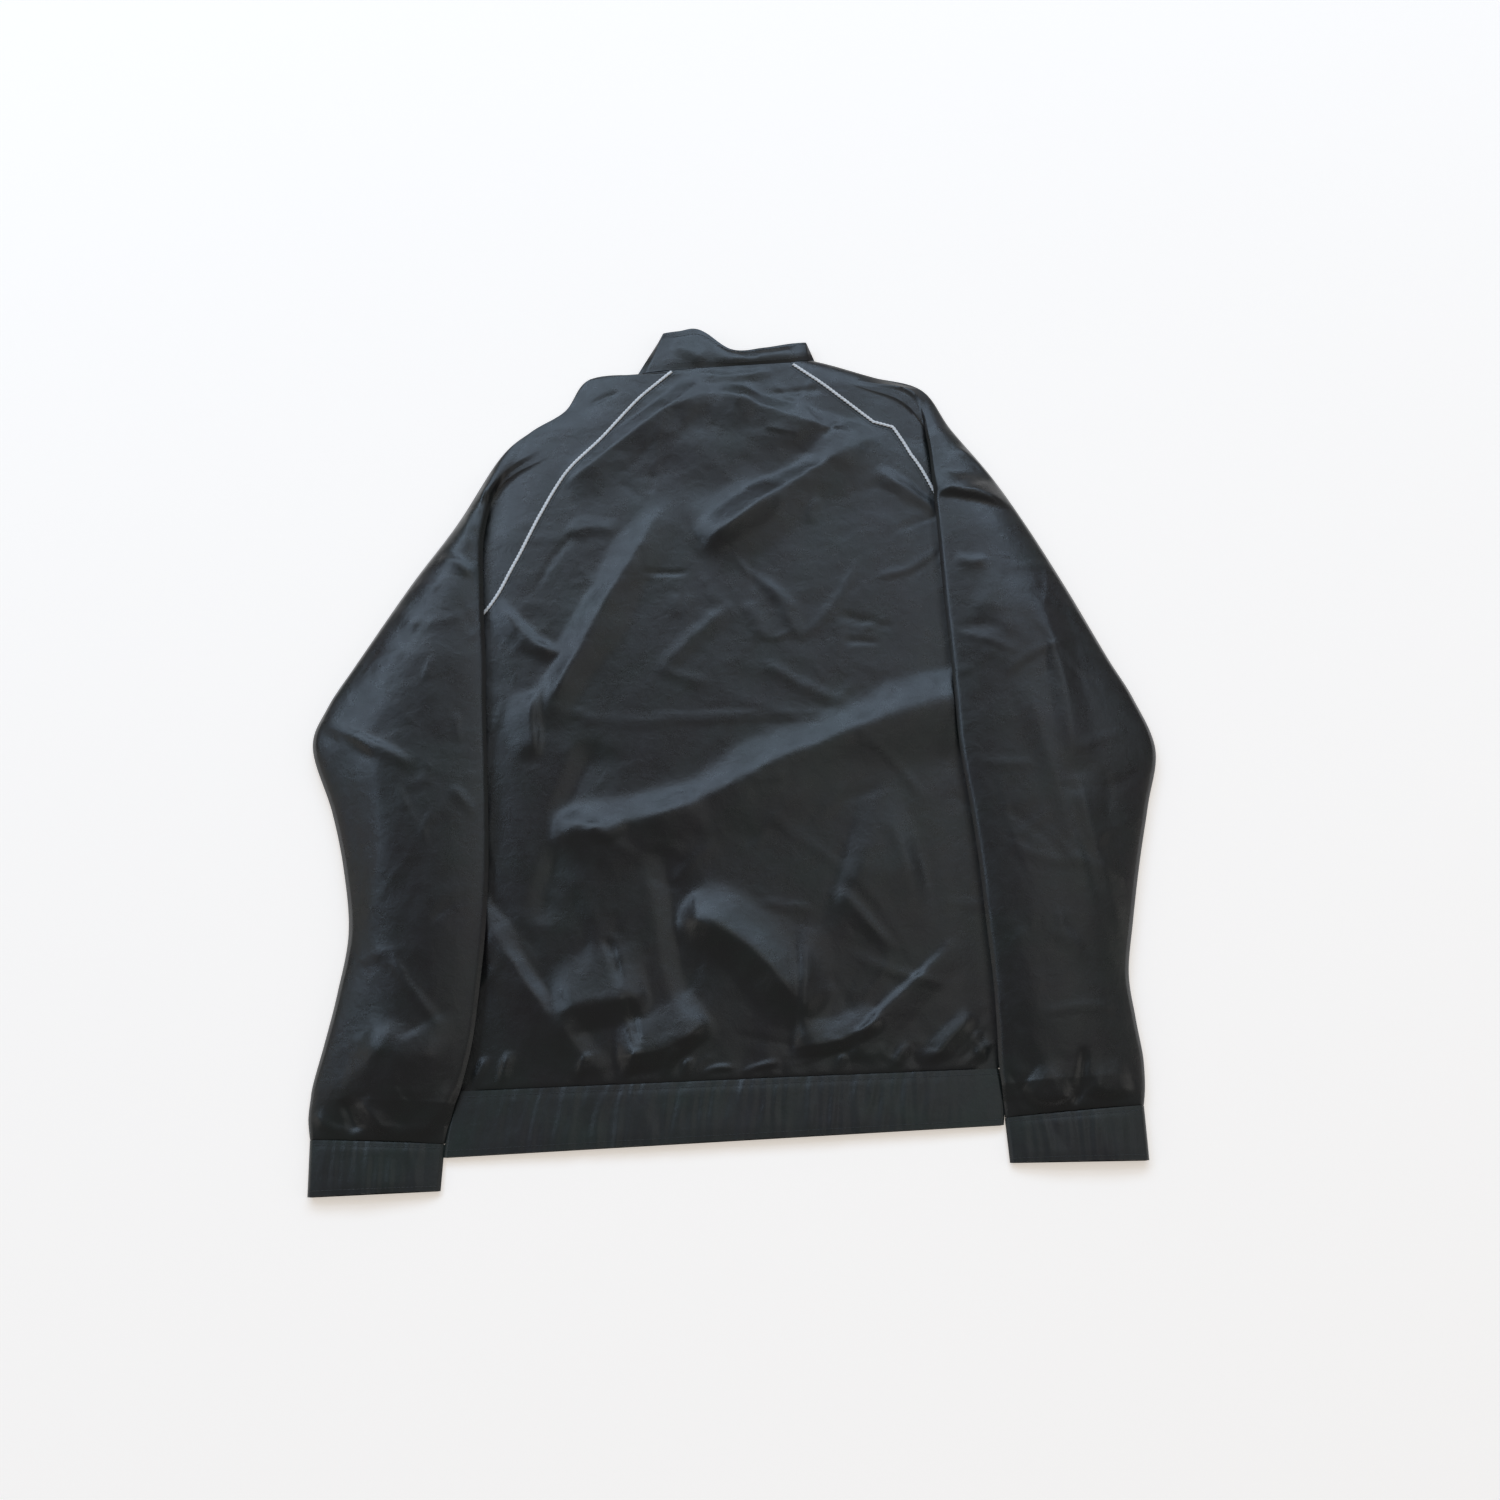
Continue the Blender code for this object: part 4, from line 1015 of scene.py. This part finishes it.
def build_sleeve(side):
    last = len(SLEEVES[side]["edge_x"]) - 1
    neck = np.linspace(0, ARMPIT, SHOULDER_ROWS)
    arm = np.linspace(ARMPIT, last, ARM_ROWS)[1:]
    grid = np.array([sleeve_row(side, station) for station in np.concatenate((neck, arm))])
    x, y = grid[..., 0], grid[..., 1]
    end = grid[-1]
    cuff_line = np.interp(x, *(end[np.argsort(end[:, 0]), axis] for axis in (0, 1)))
    distance = np.maximum(y - cuff_line, 0)
    height = grid[..., 2] + grid[..., 3] * back_detail(x, y)
    height = height + grid[..., 4] * (arm_detail(side, x, y, distance) + seam_dip(distance))
    height = np.where(grid[..., 4] > 0, np.maximum(height, neck_lift(x, y) + LOWEST_TOP), height)
    piece = shell("sleeve_" + side + ".cloth", np.dstack((x, y, height)), NYLON_LOOK,
                  tube_from=len(neck), flip=side == "right")
    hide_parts("sleeve_" + side)


# ---------------------------------------------------------------- the gathered bands


def band_ring(inner, outer, gathers, edge_z, outer_z, crown, count, height, seed):
    """One ring of a gathered band laid flat: over the top with its gathers, and back below."""
    shares = np.linspace(0, 1, count)
    top = inset_path(inner, outer, shares, EDGE_ROLL_INSET, EDGE_ROLL_INSET)
    arch = crown * np.sin(np.pi * shares) ** ARCH_POWER
    along = shares * np.hypot(*(outer - inner))
    level = np.full(count, height)
    uneven = 0.7 + 1.3 * noise(along, 9 * level, 22, seed)
    drift = 2.4 * noise(along, 14 * level, 34, seed + 1)
    wave = 0.3 * uneven * np.cos(2 * math.pi * gathers * shares + drift)
    wave = wave + 1.3 * noise(along, 11 * level, 7.5, seed + 2)
    wave = wave + 1.6 * noise(along, 9 * level, 17, seed + 3)
    wave = BAND_RIPPLE * wave
    top_z = mix(edge_z, outer_z, shares) + arch + wave * np.minimum(1, 6 * shares * (1 - shares))
    below = inset_path(outer, inner, np.linspace(0, 1, count // 4), EDGE_ROLL_INSET, EDGE_ROLL_INSET)
    plan = np.vstack((inner, top, outer, below, inner))
    z = np.concatenate(([edge_z / 2], top_z, [outer_z / 2], np.zeros(len(below)), [edge_z / 2]))
    return np.column_stack((plan, z))


BAND_HEIGHTS = np.concatenate(([0, 0.015], np.linspace(0.05, 0.95, 22), [0.985, 1]))


def band_profile(height):
    """Swell of a band and the dip at its seam and its turned edge."""
    swell = np.interp(height, *BAND_SWELL)
    stitched = 0.25 * math.exp(-((height - 0.9) / 0.025) ** 2)
    return swell - stitched - 0.35 * math.exp(-(1 - height) / 0.06)


END_REACH = 0.9             # of the hem band towards the sleeves beside it
END_BOW = 2.0               # how far its ends bulge in the middle
HEM_POINTS = 460            # across the top of a ring
CUFF_POINTS = 130


def build_hem_band():
    rows = []
    for height in BAND_HEIGHTS:
        bow = END_REACH + END_BOW * 4 * height * (1 - height)
        left, right = (np.array([on_lines(end["x"], height) + side_sign(side) * bow,
                                 on_lines(end["y"], height) - SEAM_GAP * height])
                       for side, end in HEM_ENDS.items())
        crown = HEM_TOP - BAND_EDGE_TOP + band_profile(height)
        rows.append(band_ring(left, right, HEM_GATHERS, BAND_EDGE_TOP, BAND_EDGE_TOP, crown,
                              HEM_POINTS, height, 61))
    grid = np.array(rows)
    piece = shell("hem_band.cloth", grid, ELASTIC_LOOK, tube_from=0)
    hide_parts("hem_band")
    return grid


def build_cuff(side):
    """An elastic cuff that hangs on from the last row of its sleeve."""
    sleeve = SLEEVES[side]
    inner = np.array([sleeve["edge_x"][-1], sleeve["edge_y"][-1] - SEAM_GAP])
    outer = np.array([sleeve["outer_x"][-1], sleeve["outer_y"][-1] - SEAM_GAP])
    inner_corner, outer_corner = zip(*CUFF_CORNERS[side].values())
    outer_top = 2 * sleeve["roll"][-1]
    rows = []
    for share in BAND_HEIGHTS:
        low_inner = mix(inner, np.array(inner_corner), share)
        low_outer = mix(outer, np.array(outer_corner), share)
        crown = sleeve["crown"][-1] + band_profile(1 - share)
        rows.append(band_ring(low_inner, low_outer, CUFF_GATHERS, EDGE_ROLL, outer_top, crown,
                              CUFF_POINTS, share, 81 if side == "left" else 91))
    grid = np.array(rows)
    piece = shell("cuff_" + side + ".cloth", grid, ELASTIC_LOOK, tube_from=0,
                  flip=side == "right")
    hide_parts("cuff_" + side)
    return grid


# ---------------------------------------------------------------- the collar


COLLAR_SHARE = 0.3          # of the solid's swell that the thin cloth keeps
COLLAR_SWELL = ((0, 0.08, 0.18, 0.3, 0.42, 1), (0, 0.42, 0.78, 0.97, 0.96, 0))


def build_collar():
    """The collar, a band that starts and ends at the zip and folds over at both shoulders."""
    stations = np.linspace(0, len(COLLAR["back"]) - 1, 16 * (len(COLLAR["back"]) - 1) + 1)
    base_y = np.where(COLLAR["base_y"] > 0, COLLAR["base_y"], front_neck_y(COLLAR["base_x"]))
    height = np.linspace(0, 1, 22)
    rows = []
    for station in stations:
        base = np.array([on_lines(COLLAR["base_x"], station), on_lines(base_y, station)])
        top = np.array([on_curve(COLLAR["top_x"], station), on_curve(COLLAR["top_y"], station)])
        back = on_lines(COLLAR["back"], station)
        gap = SEAM_GAP + FOLDED_SEAM_GAP * 4 * back * (1 - back)
        base = base + (top - base) * gap / np.hypot(*(top - base))
        plan = mix(base, top, height[:, None])
        arch = COLLAR_SHARE * on_lines(COLLAR["bulge"], station)
        arch = arch * np.interp(height, COLLAR_SWELL[0], COLLAR_SWELL[1])
        back_z = mix(back_surface(*base), COLLAR_BACK_TOP, height) + arch
        free = np.sin(np.pi * np.clip(height, 0, 0.9)) ** 0.5
        fine = crease_height(COLLAR_CREASES, *plan.T) + 0.6 * crumple(*plan.T, 151)
        fine = fine + seam_dip(height * 40) + seam_dip((1 - height) * 40 - 6) * 0.4
        turned = np.clip(4 * back - 1.5, 0, 1)
        z = mix(NECK_LIFT, back_z + fine * free, turned)
        rows.append(np.column_stack((plan, z)))
    grid = np.array(rows)
    piece = shell("collar.cloth", grid, NYLON_LOOK, flip=True)
    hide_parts("collar")
    return grid


# ---------------------------------------------------------------- piping, stitching and zip

CORD_WIDTH = 3.5
CORD_HEIGHT = 1.9
CORD_PITCH = 3.7            # between two turns of the cord's two strands
CORD_STEP = 0.55


def build_piping(side):
    """A pale cord of two twisted strands that stands on the back raglan seam."""
    stations = np.linspace(0.12, PIPING_END, 400)
    x, y = seam_line(side, "back", stations)
    z = back_surface(x, y) + PIPING_LIFT
    path = resample(np.column_stack((x, y, z)), CORD_STEP)
    sides = 12
    angles = np.linspace(0, 2 * math.pi, sides, endpoint=False)
    turn = np.arange(len(path))[:, None] * CORD_STEP * math.pi / CORD_PITCH
    radii = CORD_WIDTH / 2 * (0.86 + 0.17 * np.cos(2 * (angles - turn)))
    points, faces = tube(path, 0.0, sides, CORD_HEIGHT / CORD_WIDTH, radii)
    piece = add_mesh("piping_" + side + ".cord", points, faces, piping_material(), sharp=80)
    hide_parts("piping_" + side)


def beside_seam(side, offset):
    """A line on the back or the sleeve that keeps its distance from the raglan seam."""
    stations = np.linspace(0.1, PIPING_END - 0.2, 200)
    x, y = seam_line(side, "back", stations)
    along = unit(np.gradient(np.column_stack((x, y)), axis=0))
    x = x - along[:, 1] * offset
    y = y + along[:, 0] * offset
    return np.column_stack((x, y, back_surface(x, y) + 0.1))


def build_stitching(hem, cuffs, collar):
    """Topstitching beside the raglan seams, under the hem seam and on the cuffs and collar."""
    stitches("stitching.raglan", [beside_seam(side, SEAM_STITCH * side_sign(side)) for side in SEAMS])
    row = int(np.argmin(np.abs(BAND_HEIGHTS - 0.9)))
    stitches("stitching.hem", [hem[place, 1:HEM_POINTS + 1] + STITCH_LIFT for place in (row, 3)])
    row = int(np.argmin(np.abs(BAND_HEIGHTS - 0.1)))
    stitches("stitching.cuffs", [grid[place, 1:CUFF_POINTS + 1] + STITCH_LIFT for grid in cuffs
                                 for place in (row, len(BAND_HEIGHTS) - 4)])
    stitches("stitching.collar", [collar[COLLAR_BACK, place] + STITCH_LIFT for place in (3, 18)])


TOOTH_PITCH = 1.5
COIL_WIRE = 0.32            # radius of the coil's wire
TAPE_PROFILE = ((-14.0, 0.0), (-14.0, 0.6), (-4.0, 0.7), (-0.15, 0.7), (-0.15, 0.0), (-4.0, 0.0))


def build_zip():
    """Two woven tapes behind the front panel, and the closed coil that shows in the slit."""
    y = np.linspace(ZIP_END + 1, COLLAR_TOP_Y - 0.3, 96)
    seat = neck_lift(ZIP_X, y) + ZIP_TAPE_LIFT
    for name, sign in (("left", 1), ("right", -1)):
        points = np.array([[(ZIP_X + sign * across, place, level + up) for across, up in TAPE_PROFILE]
                           for place, level in zip(y, seat)])
        rows, count = points.shape[:2]
        numbers = np.arange(rows * count).reshape(rows, count)
        closed = np.column_stack((numbers, numbers[:, 0]))
        faces = quads(closed).reshape(-1, 4)
        if sign > 0:
            faces = faces[:, ::-1]
        caps = [list(numbers[0])[::sign], list(numbers[-1])[::-sign]]
        piece = add_mesh("zip_tape." + name, points.reshape(-1, 3), faces.tolist() + caps,
                         TAPE_LOOK)
        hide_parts("zip_tape")
    vertices, faces, first = [], [], 0
    for index, place in enumerate(np.arange(ZIP_END + 2, COLLAR_TOP_Y - 2, TOOTH_PITCH)):
        level = float(neck_lift(ZIP_X, place)) + ZIP_TAPE_LIFT
        sign = 1 if index % 2 else -1
        turns = np.linspace(-0.15, 1.15, 9) * math.pi
        line = np.column_stack((ZIP_X + sign * (1.0 - 1.3 * np.sin(turns)),
                                place + 0.45 * np.cos(turns),
                                level - 0.62 + 0.42 * np.cos(turns)))
        points, sides = tube(line, COIL_WIRE, 6)
        vertices.append(points)
        faces += [[number + first for number in face] for face in sides]
        first += len(points)
    add_mesh("zip_coil", np.vstack(vertices), faces, coil_material(), sharp=80)


# ---------------------------------------------------------------- floor, lights and camera

FOCAL = 34.944              # millimetres on a sensor 36 mm wide
CAMERA_TARGET = (13.9, 346.5, 0.0)
CAMERA_ELEVATION = 68.0
CAMERA_DISTANCE = 1320.0

FLOOR_HALF = 9.0            # metres, as are the next two and the sizes of the lights
FLOOR_DROP = 0.0004         # below the garment, so that the two never share a plane
LIGHT_DISTANCE = 6.2
COOL = (0.58, 0.77, 1.0)
WARM = (1.0, 0.97, 0.92)
SOFTBOXES = (               # name, azimuth, elevation, width and height, power, colour
    ("far_softbox", -4, 37, (8.0, 2.1), 175.0, COOL),
    ("upper_softbox", 8, 56, (9.0, 1.0), 42.0, (0.74, 0.86, 1.0)),
    ("window_softbox", -58, 42, (2.4, 1.8), 46.0, COOL),
    ("near_softbox", 62, 70, (3.4, 3.4), 16.0, (0.98, 1.0, 0.97)),
    ("left_softbox", -95, 24, (3.0, 3.0), 20.0, WARM),
    ("right_softbox", 95, 24, (3.0, 3.0), 20.0, WARM))


def aim(thing, target):
    """Turn a light or camera towards a point."""
    thing.rotation_euler = (Vector(target) - thing.location).to_track_quat("-Z", "Y").to_euler()


def softbox(name, azimuth, elevation, size, power, colour):
    """A large soft light that looks at the garment; azimuth 0 is past the collar, 90 at its right."""
    light = bpy.data.lights.new(name, "AREA")
    light.shape = "RECTANGLE"
    light.size, light.size_y = size
    light.energy = power
    light.color = colour
    lamp = bpy.data.objects.new(name, light)
    turn, rise = math.radians(azimuth), math.radians(elevation)
    lamp.location = (LIGHT_DISTANCE * math.sin(turn) * math.cos(rise),
                     LIGHT_DISTANCE * math.cos(turn) * math.cos(rise), LIGHT_DISTANCE * math.sin(rise))
    bpy.context.scene.collection.objects.link(lamp)
    aim(lamp, (0.0, 0.0, 0.0))


def build_stage():
    bpy.context.scene.view_settings.view_transform = "Standard"
    mesh = bpy.data.meshes.new("floor")
    corners = [(x * FLOOR_HALF, y * FLOOR_HALF, 0) for x, y in ((-1, -1), (1, -1), (1, 1), (-1, 1))]
    mesh.from_pydata(corners, [], [(0, 1, 2, 3)])
    mesh.materials.append(floor_material())
    floor = bpy.data.objects.new("floor", mesh)
    floor.location.z = -FLOOR_DROP
    bpy.context.scene.collection.objects.link(floor)

    world = bpy.data.worlds.new("studio")
    world.use_nodes = True
    background = world.node_tree.nodes["Background"]
    background.inputs["Color"].default_value = (1.0, 0.98, 0.95, 1.0)
    background.inputs["Strength"].default_value = 0.22
    bpy.context.scene.world = world

    for light in SOFTBOXES:
        softbox(*light)


def build_camera():
    data = bpy.data.cameras.new("camera")
    data.sensor_width = 36.0
    data.lens = FOCAL
    camera = bpy.data.objects.new("camera", data)
    target = Vector(CAMERA_TARGET) * MM + SHIFT
    angle = math.radians(CAMERA_ELEVATION)
    camera.location = target + Vector((0, -math.cos(angle), math.sin(angle))) * CAMERA_DISTANCE * MM
    bpy.context.scene.collection.objects.link(camera)
    aim(camera, target)
    bpy.context.scene.camera = camera


# ---------------------------------------------------------------- the whole garment

TAPE_LOOK = tape_material()

build_back_panel()
build_front_panel()
for arm in SLEEVES:
    build_sleeve(arm)
    build_piping(arm)
build_stitching(build_hem_band(), [build_cuff(arm) for arm in SLEEVES], build_collar())
build_zip()
metal = enamel_material()
for part in ("zip_slider", "zip_pull_tab"):
    for place in frame["nodes"][part].material_slots:
        place.material = metal
build_stage()
build_camera()

bpy.context.view_layer.update()
